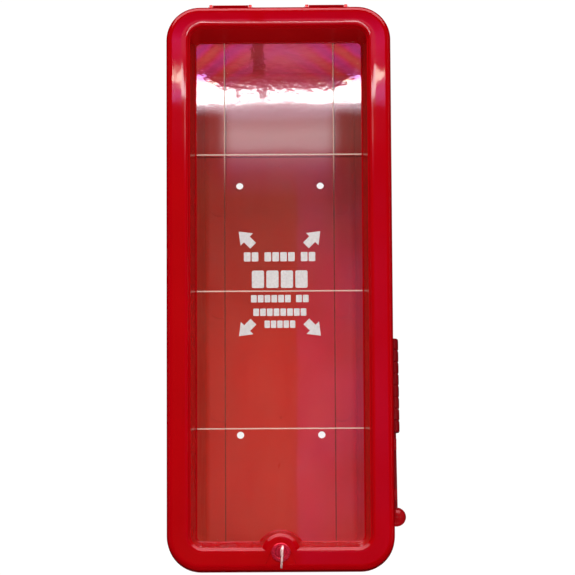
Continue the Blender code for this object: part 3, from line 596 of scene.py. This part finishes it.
def knuckle(side):
    """A barrel round the hinge pin, joined to the cover's top wall by a ramp."""
    low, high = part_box(f"hinge_pin_{SIDES[side]}")
    centre, inside = (HINGE_AT.y, HINGE_AT.z), COVER_HALF_H - 0.0016
    shape = [
        (y_at(0.0280), inside),
        (y_at(SKIRT_DEPTH - 0.0006), inside),
        *arc(centre, KNUCKLE_R, -120, 115, 28),
        (y_at(0.0260), COVER_HALF_H - 0.0009),
    ]
    width = high.x - low.x - 2 * (PIN_HEAD + EAR_THICK + 2 * GAP)
    return plate("knuckle", [shape], width, ((low.x + high.x) / 2, 0, 0), Y, Z, 0.0004)


def hinge_bore():
    reach = HINGE_AT.x + 0.030
    return cylinder((-reach, HINGE_AT.y, HINGE_AT.z), X, 2 * reach, PIN_R + GAP, sides=32)


def build_cover():
    cover = loft("cover_moulding", cover_rings(), capped=False)
    for point in cover.data.vertices:  # the sink fades out down the sides, so that the lock's lobe stays flat
        if FRONT < point.co.y <= y_at(SINK * 1.01):
            share = min(1.0, max(0.0, (point.co.z + 0.24) / 0.12))
            point.co.y = FRONT + (point.co.y - FRONT) * share
    extra, cuts = [knuckle(-1), knuckle(1)], [hinge_bore()]
    cuts.append(cylinder((0, y_at(LIP_DEPTH - 0.003), LOCK_AT.z), Y, 0.010, LOCK_NOTCH_R, sides=64))
    cuts.append(cylinder((0, y_at(-0.003), LOCK_AT.z), Y, 0.010, BODY_R + GAP, sides=64))
    for name in RETAINER_SCREWS:
        at = middle_of(name)
        start = (at.x, y_at(LIP_DEPTH + LIP_THICK - 0.001), at.z)
        extra.append(cylinder(start, Y, PANEL_HIGH.y - start[1], BOSS_R, sides=24))
        cuts.append(cylinder((at.x, y_at(LIP_DEPTH - 0.002), at.z), Y, 0.009, BOSS_BORE_R, sides=16))
    combine(cover, extra, "UNION")
    combine(cover, cuts, "DIFFERENCE")
    dress(cover, COVER_RED, "cover", ["cover_frame"])


# ---------- window and its print

ARROW_TIP, ARROW_ANGLE = (0.0440, 0.0640), 45  # the upper right arrow's tip, and its direction
ARROW_LONG, ARROW_HEAD, ARROW_HEAD_W, ARROW_SHAFT_W = 0.0220, 0.0123, 0.0190, 0.0088
ARROW_MIDDLE = 0.0070  # height that the upper and lower arrows mirror about
PRINT_THICK = 0.00006
BAR_ROWS = (  # height, width and letter height of each row of print, and its blocks by word
    (0.0362, 0.0770, 0.0100, (2, 4, 2)),
    (0.0117, 0.0600, 0.0190, (4,)),
    (-0.0095, 0.0620, 0.0080, (6, 2)),
    (-0.0242, 0.0570, 0.0080, (8,)),
    (-0.0373, 0.0330, 0.0080, (5,)),
)


def build_window():
    sheet = block("window_sheet", PANEL_LOW, PANEL_HIGH)
    long = 2 * PANEL_HIGH.z
    grooves = []
    for side in (-1, 1):
        start = (side * SCORE_X, PANEL_LOW.y, -long)
        grooves.append(cylinder(start, Z, 2 * long, SCORE_DEEP, sides=4))
    for z in SCORE_Z:
        grooves.append(cylinder((-long, PANEL_LOW.y, z), X, 2 * long, SCORE_DEEP, sides=4))
    combine(sheet, grooves, "DIFFERENCE")
    dress(sheet, CLEAR, "cover", ["window_panel"])


def arrow(su, sv):
    """An arrow pointing away from the middle of the print, in (x, z)."""
    half, back = ARROW_SHAFT_W / 2, ARROW_LONG - ARROW_HEAD
    shape = [(0, -half), (back, -half), (back, -ARROW_HEAD_W / 2), (ARROW_LONG, 0), (back, ARROW_HEAD_W / 2)]
    shape += [(back, half), (0, half)]
    a = math.radians(ARROW_ANGLE)
    points = []
    for u, v in shape:
        u -= ARROW_LONG
        x = ARROW_TIP[0] + u * math.cos(a) - v * math.sin(a)
        z = ARROW_TIP[1] - ARROW_MIDDLE + u * math.sin(a) + v * math.cos(a)
        points.append((su * x, ARROW_MIDDLE + sv * z))
    return points


def bars(z, width, height, words):
    """A row of plain blocks that stands for a row of print."""
    unit = width / (sum(words) + 0.62 * (len(words) - 1) - 0.16)
    x = -width / 2
    shapes = []
    for word in words:
        for _ in range(word):
            centre = (x + unit * 0.42, z)
            shapes.append(rounded(unit * 0.42, height / 2, min(unit * 0.1, height * 0.1), 2, centre))
            x += unit
        x += unit * 0.62
    return shapes


def build_print():
    front = PANEL_LOW.y - PRINT_THICK
    shapes = [arrow(su, sv) for su in (-1, 1) for sv in (-1, 1)]
    for row in BAR_ROWS:
        shapes += bars(*row)
    bm = bmesh.new()
    for shape in shapes:
        face = bm.faces.new([bm.verts.new((x, front, z)) for x, z in shape])
        grown = bmesh.ops.extrude_face_region(bm, geom=[face])["geom"]
        moved = [v for v in grown if isinstance(v, bmesh.types.BMVert)]
        bmesh.ops.translate(bm, verts=moved, vec=(0, PRINT_THICK * 0.8, 0))
    dress(mesh_object("window_print", bm), PRINT, "cover")


# ---------- tub


def mouth_ring(radius, inset=0.0):
    return outline(MOUTH_HALF_W - inset, MOUTH_TOP - inset, MOUTH_BOTTOM + inset, radius)


def back_ring(radius, inset=0.0):
    return outline(BACK_HALF_W - inset, BACK_HALF_H - inset, -BACK_HALF_H + inset, radius)


def rim_ring(inset=0.0):
    return outline(RIM_HALF_W - inset, RIM_HALF_H - inset, -RIM_HALF_H + inset, RIM_R - inset)


def tub_rings():
    floor, inside, curl, heel = DEPTH - BACK_THICK, WALL + 0.0004, 0.0060, 0.0050
    rings = []
    for inset, depth in reversed([(0, 0), *fillet((0, 0), curl, 6, curls_in=False)]):
        rings.append((floor - curl + depth, back_ring(0.015 - inset, inside + inset)))
    rim = (  # back from the rim's front: down the mouth's inside, round the rim and up behind it
        (0.0015, mouth_ring(0.020, WALL)),
        (0.0004, mouth_ring(0.0205, WALL - 0.0004)),
        (0, mouth_ring(0.021, WALL - 0.0012)),
        (0, rim_ring(0.0012)),
        (0.0004, rim_ring(0.0004)),
        (0.0012, rim_ring()),
        (RIM_LIP - 0.0004, rim_ring()),
        (RIM_LIP, rim_ring(0.0004)),
        (RIM_LIP, rim_ring(WALL)),
        (WALL + 0.0008, rim_ring(WALL)),
        (WALL, rim_ring(WALL + 0.0008)),
        (WALL, mouth_ring(MOUTH_R + 0.001, -0.001)),
        (WALL + 0.001, mouth_ring(MOUTH_R)),
    )
    rings += [(RIM_FRONT + back, ring) for back, ring in rim]
    rings.append((DEPTH - heel, back_ring(BACK_R)))
    for inset, rise in fillet((0, 0), heel, 6, curls_in=False):
        rings.append((DEPTH - heel + rise, back_ring(BACK_R - inset, inset)))
    return rings


def hinge_ear(x):
    """An ear with its gusset, from the tub's top wall over the rim to the hinge pin."""
    centre, in_rim = (HINGE_AT.y, HINGE_AT.z), y_at(RIM_FRONT) + 0.0015
    shape = [
        (in_rim, MOUTH_TOP - 0.0010),
        (centre[0] + 0.0120, MOUTH_TOP - 0.0030),
        (centre[0] + 0.0080, RIM_HALF_H - 0.0010),
        *arc(centre, TUB_HIGH.z - HINGE_AT.z, -20, 215, 24),
        (centre[0] - 0.0045, RIM_HALF_H - 0.0015),
        (in_rim, RIM_HALF_H - 0.0015),
    ]
    return plate("ear", [shape], EAR_THICK, (x, 0, 0), Y, Z, 0.0004)


def clip_seat(z):
    """A block on the tub's drafted side wall with an upright outer face for a clip."""

    def in_wall(y):
        along = (y - y_at(RIM_FRONT)) / -y_at(RIM_FRONT)
        return MOUTH_HALF_W + (BACK_HALF_W - MOUTH_HALF_W) * along - WALL / 2

    near, far = HAMMER_Y - CLIP_SEAT_HALF, HAMMER_Y + CLIP_SEAT_HALF
    shape = [(in_wall(near), near), (CLIP_SEAT_X, near), (CLIP_SEAT_X, far), (in_wall(far), far)]
    return plate("clip_seat", [shape], 0.0140, (0, 0, z), X, Y)


def build_tub():
    tub = loft("tub_moulding", tub_rings(), capped=True)
    floor = y_at(DEPTH - BACK_THICK)
    extra, cuts = [], []
    for side, word in SIDES.items():
        low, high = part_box(f"hinge_pin_{word}")
        reach = (high.x - low.x) / 2 - PIN_HEAD - GAP - EAR_THICK / 2
        extra += [hinge_ear((low.x + high.x) / 2 + end * reach) for end in (-1, 1)]
        for z in (-SCREW_HOLE_Z, SCREW_HOLE_Z):
            if z > 0:
                start = (side * SCREW_HOLE_X, floor - 0.0024, z)
                extra.append(cylinder(start, Y, 0.004, 0.0056, 0.0062))
            cuts.append(cylinder((side * SCREW_HOLE_X, floor - 0.01, z), Y, 0.02, SCREW_HOLE_R))
        for z in PAD_Z:
            extra.append(cylinder((side * PAD_X, floor - 0.0007, z), Y, 0.002, PAD_R - 0.0003, PAD_R))
        at = middle_of(f"keeper_rivet_{word}")
        cuts.append(cylinder((at.x, y_at(RIM_FRONT - 0.002), at.z), Y, 0.008, RIVET_R + GAP, sides=24))
    extra += [cylinder((0, floor - 0.0012, z), Y, 0.003, 0.0013, 0.0020, 24) for z in GATE_Z]
    for word in ("upper", "lower"):
        z = middle_of(f"hammer_clip_{word}").z
        extra.append(clip_seat(z))
        for end in (-1, 1):
            start = (CLIP_SEAT_X + 0.001, HAMMER_Y + end * RIVET_Y, z)
            cuts.append(cylinder(start, -X, 0.0049, RIVET_R + GAP, sides=24))
    combine(tub, extra, "UNION")
    combine(tub, [*cuts, hinge_bore()], "DIFFERENCE")
    dress(tub, TUB_RED, "tub", ["tub"])


# ---------- hinge pins, rivets and screws


def build_pins():
    for word in SIDES.values():
        low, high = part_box(f"hinge_pin_{word}")
        long, head = high.x - low.x, (high.z - low.z) / 2
        profile = [(0, 0), (0, head - 0.0006), (0.0002, head - 0.0002), (0.0004, head), (PIN_HEAD, head)]
        profile.append((PIN_HEAD, PIN_R))
        stations = profile + [(long - height, radius) for height, radius in reversed(profile)]
        pin = turned(f"hinge_pin_{word}_turned", stations, (low.x, HINGE_AT.y, HINGE_AT.z), X)
        dress(pin, ZINC, "tub", [f"hinge_pin_{word}"])


def rivet(node, direction, head_high, head_r, tail_r):
    """A domed rivet filling its CAD node's box along direction, with a tail that is spread to tail_r."""
    low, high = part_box(node)
    long = abs((high - low).dot(direction))
    at = middle_of(node)
    foot = at - direction * long / 2
    neck = long - head_high
    stations = [(0, 0), (0, tail_r * 0.75), (0.0010, tail_r)] if tail_r > RIVET_R else [(0, 0)]
    stations += [(stations[-1][0], RIVET_R), (neck, RIVET_R), (neck, head_r)]
    dome = arc((0, 0), 1.0, 0, 75, 5)
    stations += [(neck + head_high * (0.25 + 0.75 * rise), head_r * wide) for wide, rise in dome]
    stations.append((long, 0))
    made = turned(f"{node}_turned", stations, foot, direction, sides=32)
    dress(made, ZINC, "tub", [node])


def build_rivets():
    for node in sorted(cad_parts):
        if node.startswith("clip_rivet"):
            rivet(node, X, 0.0013, 0.0028, RIVET_R)
        elif node.startswith("keeper_rivet"):
            rivet(node, -Y, 0.0013, 0.0028, 0.00224)


def build_screws():
    """Countersunk screws with a cross recess, all sharing one mesh."""
    first = RETAINER_SCREWS[0]
    low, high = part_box(first)
    long, head_r = high.y - low.y, 0.0026
    stations = [(0, 0), (0.0015, 0.0009)]
    for i in range(6):  # rolled threads
        height = 0.0016 + 0.0004 * i
        stations += [(height, 0.00105), (height + 0.0002, 0.0009)]
    stations += [(long - 0.0017, 0.0010), (long - 0.0003, head_r - 0.0001)]
    stations += [(long - 0.0001, head_r), (long, head_r - 0.0002), (long, 0)]
    at = middle_of(first)
    screw = turned(f"{first}_turned", stations, (at.x, low.y, at.z), Y, sides=24)
    arms = []
    for wide, tall in ((0.0016, 0.00035), (0.00035, 0.0016)):
        low_corner = (at.x - wide, high.y - 0.0009, at.z - tall)
        arms.append(block("arm", low_corner, (at.x + wide, high.y + 0.001, at.z + tall)))
    combine(screw, arms, "DIFFERENCE")
    screw.data.materials.append(ZINC)
    for node in RETAINER_SCREWS:
        copy = screw if node == first else new_object(f"{node}_turned", screw.data)
        copy.location = middle_of(node) - at
        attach(copy, "cover")
        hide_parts(node)


# ---------- lock and key


LOCK_BORE, BEZEL, BEZEL_R = 0.0058, 0.0015, 0.0016  # the bezel's thickness and its edge's radius
THREADS, THREAD_PITCH, THREAD_DEEP = 18, 0.0012, 0.00035
DRIVE_HALF, KEYWAY, KEYWAY_HALF = 0.0035, (-0.0007, 0.0019), 0.0041


def build_lock_body():
    low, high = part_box("lock_body")
    long, bezel_r = high.y - low.y, (high.x - low.x) / 2
    bore, flat = LOCK_BORE, bezel_r - BEZEL_R
    stations = [(long, bore), (0.0007, bore), (0.0003, bore + 0.0004), (0, bore + 0.0009), (0.0001, flat)]
    for wide, rise in arc((0, 0), 1.0, 18, 90, 4):
        stations.append((0.0001 + 0.0010 * (1 - wide), flat + BEZEL_R * rise))
    stations += [(BEZEL - GAP, bezel_r), (BEZEL - GAP, BODY_R), (BEZEL + 0.0012, BODY_R)]
    for i in range(THREADS):
        height = BEZEL + 0.0016 + THREAD_PITCH * i
        stations += [(height, BODY_R - THREAD_DEEP), (height + THREAD_PITCH / 2, BODY_R)]
    stations += [(long, BODY_R - 0.0004), (long, bore)]
    body = turned("lock_body_turned", stations, (0, low.y, LOCK_AT.z), Y, sides=64)
    bm = bmesh.new()
    bm.from_mesh(body.data)
    bmesh.ops.remove_doubles(bm, verts=bm.verts, dist=1e-7)
    bm.to_mesh(body.data)
    bm.free()
    dress(body, LOCK_PLATE, "cover", ["lock_body"])


def build_lock_plug():
    low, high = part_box("lock_plug")
    plug_r, drive = (high.x - low.x) / 2, DRIVE_HALF
    drum_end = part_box("lock_body")[1].y + 0.0005 - low.y
    stations = [(0, 0), (0, plug_r - 0.0006), (0.0002, plug_r - 0.0002), (0.0005, plug_r), (drum_end, plug_r)]
    plug = turned("lock_plug_turned", [*stations, (drum_end, 0)], (0, low.y, LOCK_AT.z), Y, sides=64)
    drive_low = (-drive, low.y + drum_end - 0.002, LOCK_AT.z - drive)
    square = block("drive", drive_low, (drive, high.y, LOCK_AT.z + drive))
    combine(plug, [square], "UNION")
    slot_low = (KEYWAY[0], low.y - 0.002, LOCK_AT.z - KEYWAY_HALF)
    slot_high = (KEYWAY[1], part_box("key")[1].y + 0.0005, LOCK_AT.z + KEYWAY_HALF)
    slot = block("keyway", slot_low, slot_high)
    hole = cylinder((0, high.y + 0.001, LOCK_AT.z), -Y, 0.0065, 0.0018, sides=32)
    combine(plug, [slot, hole], "DIFFERENCE")
    dress(plug, LOCK_PLATE, "lock", ["lock_plug"])


KEY_THICK, KEY_X, KEY_HALF, BLADE_IN = 0.0020, 0.0006, 0.0038, 0.0220
BOW_W, BOW_H, BOW_R, BOW_NEAR, BOW_X, BOW_DROP = 0.0245, 0.0236, 0.0078, 0.0022, 0.0013, 0.0060
BOW_LEAN = math.radians(3.9)
KEY_CUTS = (0.0014, 0.0023, 0.0010, 0.0019, 0.0014)


def build_key():
    shoulder, tip, top = y_at(-BOW_NEAR - 0.004), y_at(BLADE_IN), KEY_HALF
    edge = [(shoulder, -top), (y_at(0.002), -top)]
    for i, deep in enumerate(KEY_CUTS):
        middle = y_at(0.0045 + 0.0032 * i)
        edge.append((middle - 0.0011, -top + 0.0002))
        edge += [(middle - 0.0004, -top + deep), (middle + 0.0004, -top + deep)]
    edge += [(tip - 0.0012, -top), (tip, -top + 0.0028), (tip - 0.0020, top), (shoulder, top)]
    blade = plate("key_cut", [edge], KEY_THICK, (KEY_X, 0, LOCK_AT.z), Y, Z, 0.0001)
    middle = y_at(-BOW_NEAR - BOW_W / 2)
    bow = rounded(BOW_W / 2, BOW_H / 2, BOW_R, 16)
    hole_at = (-BOW_W / 2 + 0.0062, 0)
    ring_hole = arc(hole_at, 0.0030, 360, 11.25, 31)
    lean = Vector((math.sin(BOW_LEAN), 0, math.cos(BOW_LEAN)))
    at = (BOW_X, middle, LOCK_AT.z - BOW_DROP)
    head = plate("bow", [bow, ring_hole], KEY_THICK, at, Y, lean, 0.0003)
    panel = rounded(BOW_W / 2 - 0.0030, BOW_H / 2 - 0.0030, BOW_R - 0.0026, 12, (0.0020, 0))
    side = Y.cross(lean)
    coin = []
    for face in (-1, 1):
        centre = Vector(at) + side * face * KEY_THICK / 2
        coin.append(plate("coin", [panel], 0.0006, centre, Y, lean, 0.0001))
    combine(head, coin, "DIFFERENCE")
    ring_edge = arc(hole_at, 0.0044, 0, 348.75, 31)
    ring = plate("ring_wall", [ring_edge, ring_hole], KEY_THICK, at, Y, lean)
    combine(blade, [head, ring], "UNION")
    dress(blade, KEY_PLATE, "key", ["key"])


# ---------- hammer

GRIP_RIBS, GRIP_R_TOP, GRIP_R_BOTTOM, GRIP_FLATTEN, GROOVE = 8, 0.0060, 0.0055, 1.5, 0.0009
RIB = ((0, 1), (0.06, 0.30), (0.14, 0.06), (0.30, 0), (0.70, 0), (0.86, 0.06), (0.94, 0.30))  # share, sunk
LEAN = math.radians(0.7)  # the hammer's axis leans out towards the ball
SEAM = 0.00012  # how far the ball stands out where its mould's halves met


def build_hammer():
    low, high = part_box("hammer_grip")
    long = high.z - low.z
    pitch = long / GRIP_RIBS
    stations = [(0, 0)]
    for i in range(GRIP_RIBS):
        for share, sunk in RIB:
            height = (i + share) * pitch
            swell = GRIP_R_BOTTOM + (GRIP_R_TOP - GRIP_R_BOTTOM) * height / long
            stations.append((height, swell - GROOVE * sunk))
    stations += [(long, GRIP_R_TOP - GROOVE), (long, 0)]
    ball = middle_of("hammer_ball")
    foot = Vector((ball.x - (low.z - ball.z) * math.tan(LEAN), HAMMER_Y, low.z))
    up = Vector((-math.sin(LEAN), 0, math.cos(LEAN)))
    grip = turned("hammer_grip_moulded", stations, foot, up, sides=48, squash=(1, GRIP_FLATTEN))
    shank_low, shank_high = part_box("hammer_shank")
    middle, half = middle_of("hammer_shank"), (shank_high - shank_low) / 2
    thick, half_w, half_l = 0.0015, half.y, half.z / math.cos(LEAN) - 0.00005

    def bar(name, grow, edge):
        corner = Vector((thick + grow, half_w + grow, half_l + grow))
        made = block(name, -corner, corner, edge)
        made.matrix_world = Matrix.Translation(middle) @ Matrix.Rotation(-LEAN, 4, "Y")
        return baked(made)

    combine(grip, [bar("socket", GAP, 0)], "DIFFERENCE")
    dress(grip, GRIP_RED, "hammer", ["hammer_grip"])
    dress(bar("hammer_shank_drawn", 0, 0.0004), GRIP_RED, "hammer", ["hammer_shank"])
    radius = min(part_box("hammer_ball")[1] - ball)
    half_round = arc((0, 0), radius, -82.5, 82.5, 22)
    stations = [(height, wide - (0 if i == 11 else SEAM)) for i, (wide, height) in enumerate(half_round)]
    stations = [(-radius, 0), *stations, (radius, 0)]
    head = turned("hammer_ball_moulded", stations, ball, Y, sides=48)
    combine(head, [bar("socket", GAP, 0)], "DIFFERENCE")
    dress(head, HAMMER_RED, "hammer", ["hammer_ball"])


# ---------- CAD nodes that stay


def build_kept():
    """Hardware whose CAD shape is right: its edges are broken and it gets its finish."""
    looks = {"retainer_": STRIP_RED, "hammer_clip": HAMMER_RED, "keeper": ZINC, "cam": ZINC, "lock_": ZINC}
    for name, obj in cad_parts.items():
        if obj.hide_render:
            continue
        look = next(look for start, look in looks.items() if name.startswith(start))
        obj.data.materials.clear()
        obj.data.materials.append(look)
        obj.data.shade_smooth()
        edges = obj.modifiers.new("broken_edges", "BEVEL")
        edges.width = 0.0002
        edges.segments = 2
        edges.limit_method = "ANGLE"
        edges.angle_limit = math.radians(35)
        edges.harden_normals = True


# ---------- stage, lights and camera

CAMERA_AT = (0.0227, -4.3839, -0.6540)
CAMERA_YAW, CAMERA_PITCH, CAMERA_ROLL, CAMERA_LENS = 0.194, 8.812, -0.305, 249.2
FLOOR_Z = -2.6


def area_light(name, at, size, radiance, colour=(1, 1, 1), shows=False):
    """A softbox of an even radiance aimed at the cabinet. One that shows is seen in gloss alone; the others
    light the surfaces and are not seen in gloss."""
    lamp = bpy.data.lights.new(name, "AREA")
    lamp.shape = "RECTANGLE"
    lamp.size, lamp.size_y = size
    lamp.energy = radiance * math.pi * size[0] * size[1]
    lamp.color = colour
    obj = new_object(name, lamp)
    obj.location = at
    obj.rotation_euler = (Vector((0, -0.10, 0)) - Vector(at)).to_track_quat("-Z", "Y").to_euler()
    obj.visible_camera = False
    obj.visible_glossy = shows
    obj.visible_diffuse = not shows


def build_lights():
    area_light("front", (0.20, -2.0, -0.50), (1.1, 0.9), 4.5)
    area_light("key", (-0.30, -2.3, 3.2), (1.9, 1.3), 17.0)
    area_light("under", (0, -0.15, -1.9), (1.4, 0.5), 5.5)
    area_light("fill_left", (-2.0, -1.5, 0.0), (1.0, 1.6), 1.6)
    area_light("fill_right", (2.0, -1.5, 0.0), (1.0, 1.6), 2.3)
    area_light("overhead", (0, -0.95, 1.9), (3.6, 1.7), 7.0, (1.0, 0.55, 0.62), shows=True)
    area_light("glint_left", (-1.8, -1.2, 0.3), (0.06, 1.6), 1.2, shows=True)
    area_light("glint_right", (1.8, -1.2, 0.3), (0.10, 1.6), 1.6, shows=True)


CARD_Y = -2.2
CARD_RAMP = (  # height on the window that mirrors it, and its red, green and blue radiance there
    (-0.30, 0.0, 0.0, 0.0),
    (0.100, 0.0, 0.0, 0.0),
    (0.125, 0.3, 0.15, 0.35),
    (0.135, 0.6, 0.35, 0.70),
    (0.150, 1.2, 0.9, 1.2),
    (0.158, 2.4, 2.3, 2.5),
    (0.171, 2.7, 2.6, 2.7),
    (0.184, 1.9, 1.8, 2.0),
    (0.197, 2.8, 2.8, 3.4),
    (0.2050, 5.0, 4.4, 5.0),
    (0.222, 3.0, 1.2, 1.8),
    (0.230, 0.9, 0.02, 0.3),
    (0.245, 2.6, 0.4, 0.9),
    (0.255, 3.2, 0.75, 1.3),
    (0.266, 3.3, 0.7, 1.6),
    (0.276, 1.5, 0.1, 0.6),
    (0.290, 0.5, 0.0, 0.2),
    (0.310, 0.0, 0.0, 0.0),
)
BAND_LOW, BAND_HIGH, BAND_RADIANCE = 0.2030, 0.2180, 16.0  # the white light, as heights on the window
BAND_GAPS = ((-0.0446, 0.0022), (-0.0168, 0.0044), (-0.1097, 0.0010), (0.1130, 0.0008))  # x and half width
STRIPE_X, STRIPE_HALF, STRIPE_FROM = -0.0228, 0.0066, 0.232  # a dim upright stripe over the light
VEIL_X = 0.0205  # where the warm and the cool half of the dim lower part meet


def mirrored_place(tree, place):
    """The x and z on the window at which the camera sees each point of the card."""
    x, _, z = axes_of(tree, place)
    beyond = (PANEL_LOW.y - CARD_Y) / (PANEL_LOW.y - CAMERA_AT[1])
    share = 1 / (1 + beyond)
    x = scaled(tree, x, share, CAMERA_AT[0] * beyond * share)
    z = scaled(tree, z, share, CAMERA_AT[2] * beyond * share)
    return x, z


def card_end(tree, off):
    """1 on the card where the cabinet can mirror it to the camera, 0 further out."""
    return smooth(tree, off, 0.165, 0.140)


def soft_glow(tree, x, z, off, outer):
    """The glow above and below the white light, with a dim stripe and darker corners under it."""
    low, high = CARD_RAMP[0][0], CARD_RAMP[-1][0]
    ramp = add(tree, "ValToRGB", {0: spread(tree, z, 0.0, 1.0, low, high)})
    stops = ramp.color_ramp.elements
    for i, (height, *radiance) in enumerate(CARD_RAMP):
        stop = stops[i] if i < 2 else stops.new(1.0)
        stop.position = (height - low) / (high - low)
        stop.color = (*(value / BAND_RADIANCE for value in radiance), 1.0)
    corners = times(tree, smooth(tree, off, 0.048, 0.070), smooth(tree, z, 0.204, 0.190), 0.93)
    stripe = maths(tree, "COMPARE", x, STRIPE_X, STRIPE_HALF)
    stripe = times(tree, stripe, smooth(tree, z, STRIPE_FROM, STRIPE_FROM + 0.006), 0.8)
    kept = minus(tree, 1.0, maths(tree, "MAXIMUM", corners, stripe))
    hue = blend(tree, outer, ramp.outputs[0], (1.0, 0.45, 1.15), "MULTIPLY")
    power = times(tree, kept, card_end(tree, off), BAND_RADIANCE)
    return glow(tree, hue, power)


def white_light(tree, place, x, z, off, outer):
    """How much of each point is in the white light, and the light itself. It climbs and tears towards its
    ends, hangs lower where the cover's face mirrors it, and has a few dark gaps."""
    lift = scaled(tree, smooth(tree, off, 0.055, 0.088), 0.018, times(tree, outer, -0.006))
    ragged = minus(tree, noise(tree, place, 38.0, 3.0, 0.65), 0.5)
    torn = times(tree, ragged, scaled(tree, outer, 0.014, 0.014))
    top = maths(tree, "ADD", minus(tree, z, lift), torn)
    foot = scaled(tree, times(tree, torn, outer), 0.8, z)
    foot = scaled(tree, outer, -0.016, foot)
    above = smooth(tree, foot, BAND_LOW - 0.001, BAND_LOW)
    below = smooth(tree, top, BAND_HIGH + 0.002, BAND_HIGH)
    band = times(tree, above, below, smooth(tree, off, 0.126, 0.122))
    for at, half in BAND_GAPS:
        gap = maths(tree, "COMPARE", x, at, half)
        gap = times(tree, gap, smooth(tree, z, BAND_LOW + 0.001, BAND_LOW + 0.003))
        band = times(tree, band, minus(tree, 1.0, gap))
    tint = blend(tree, outer, (1.0, 0.97, 1.0), (1.0, 0.88, 0.74))
    power = scaled(tree, outer, 0.7 * BAND_RADIANCE, BAND_RADIANCE)
    return band, glow(tree, tint, power)


def dim_veil(tree, place, x, z, off):
    """The dim room low on the window, warm to the left and cool to the right of a dark seam."""
    cloudy = times(tree, smooth(tree, z, 0.16, 0.08), spread(tree, noise(tree, place, 7.0, 2.0), 0.45, 1.5))
    wavering = scaled(tree, noise(tree, place, 9.0, 1.0), 0.006, x)
    side = smooth(tree, wavering, VEIL_X - 0.0005, VEIL_X + 0.0020)
    tint = blend(tree, side, (0.10, 0.05, 0.02), (0.24, 0.06, 0.28))
    aside = maths(tree, "ABSOLUTE", minus(tree, wavering, VEIL_X))
    power = times(tree, cloudy, smooth(tree, aside, 0.0, 0.0016), card_end(tree, off))
    return glow(tree, tint, power)


def build_card():
    """The studio as the window and the cover mirror it: a wide white light with a soft glow under it and a
    rosy one over it, above a dim room. Its places are heights and widths on the window."""
    lows, highs = Vector((-0.8, CARD_Y, -0.3)), Vector((0.8, CARD_Y, 1.1))
    bm = bmesh.new()
    corners = [(lows.x, lows.z), (highs.x, lows.z), (highs.x, highs.z), (lows.x, highs.z)]
    bm.faces.new([bm.verts.new((x, CARD_Y, z)) for x, z in corners])
    card = mesh_object("reflected_card", bm)
    made, tree, place = new_material("card_glow")
    x, z = mirrored_place(tree, place)
    off = maths(tree, "ABSOLUTE", x)
    outer = smooth(tree, off, 0.090, 0.098)  # beyond the window, where the cover's face mirrors the card
    band, white = white_light(tree, place, x, z, off, outer)
    bright = mixed(tree, band, soft_glow(tree, x, z, off, outer), white)
    both = add(tree, "AddShader", {0: bright, 1: dim_veil(tree, place, x, z, off)})
    output(tree, both.outputs[0])
    card.data.materials.append(made)
    for flag in ("camera", "diffuse", "transmission", "shadow", "volume_scatter"):
        setattr(card, f"visible_{flag}", False)


def build_stage():
    bm = bmesh.new()
    bmesh.ops.create_grid(bm, x_segments=8, y_segments=8, size=30)
    floor = mesh_object("floor", bm)
    floor.location.z = FLOOR_Z
    made, tree, place = new_material("pale_floor")
    tone = blend(tree, noise(tree, place, 0.8, 3.0), (0.86, 0.86, 0.87), (0.90, 0.90, 0.90))
    principled(tree, tone, 0.8, Emission_Color=tone, Emission_Strength=0.75)
    floor.data.materials.append(made)
    floor.visible_glossy = False
    floor.visible_diffuse = False

    world = bpy.data.worlds.new("studio")
    world.use_nodes = True
    tree = world.node_tree
    tree.nodes.clear()
    paths = add(tree, "LightPath").outputs
    bright = scaled(tree, paths["Is Camera Ray"], 0.90, 0.14)
    dim = times(tree, bright, minus(tree, 1.0, paths["Is Glossy Ray"]))
    background = add(tree, "Background", {"Color": (1, 1, 1, 1), "Strength": dim})
    add(tree, "OutputWorld", {"Surface": background.outputs[0]})
    bpy.context.scene.world = world
    bpy.context.scene.view_settings.view_transform = "Standard"


def build_camera():
    data = bpy.data.cameras.new("camera")
    data.lens, data.sensor_width = CAMERA_LENS, 36.0
    camera = new_object("camera", data)
    yaw = Matrix.Rotation(math.radians(CAMERA_YAW), 4, "Z")
    pitch = Matrix.Rotation(math.radians(90 + CAMERA_PITCH), 4, "X")
    roll = Matrix.Rotation(math.radians(CAMERA_ROLL), 4, "Z")
    camera.matrix_world = Matrix.Translation(CAMERA_AT) @ yaw @ pitch @ roll
    bpy.context.scene.camera = camera


build_cover()
build_window()
build_print()
build_tub()
build_pins()
build_rivets()
build_screws()
build_lock_body()
build_lock_plug()
build_key()
build_hammer()
build_kept()
build_stage()
build_lights()
build_card()
build_camera()
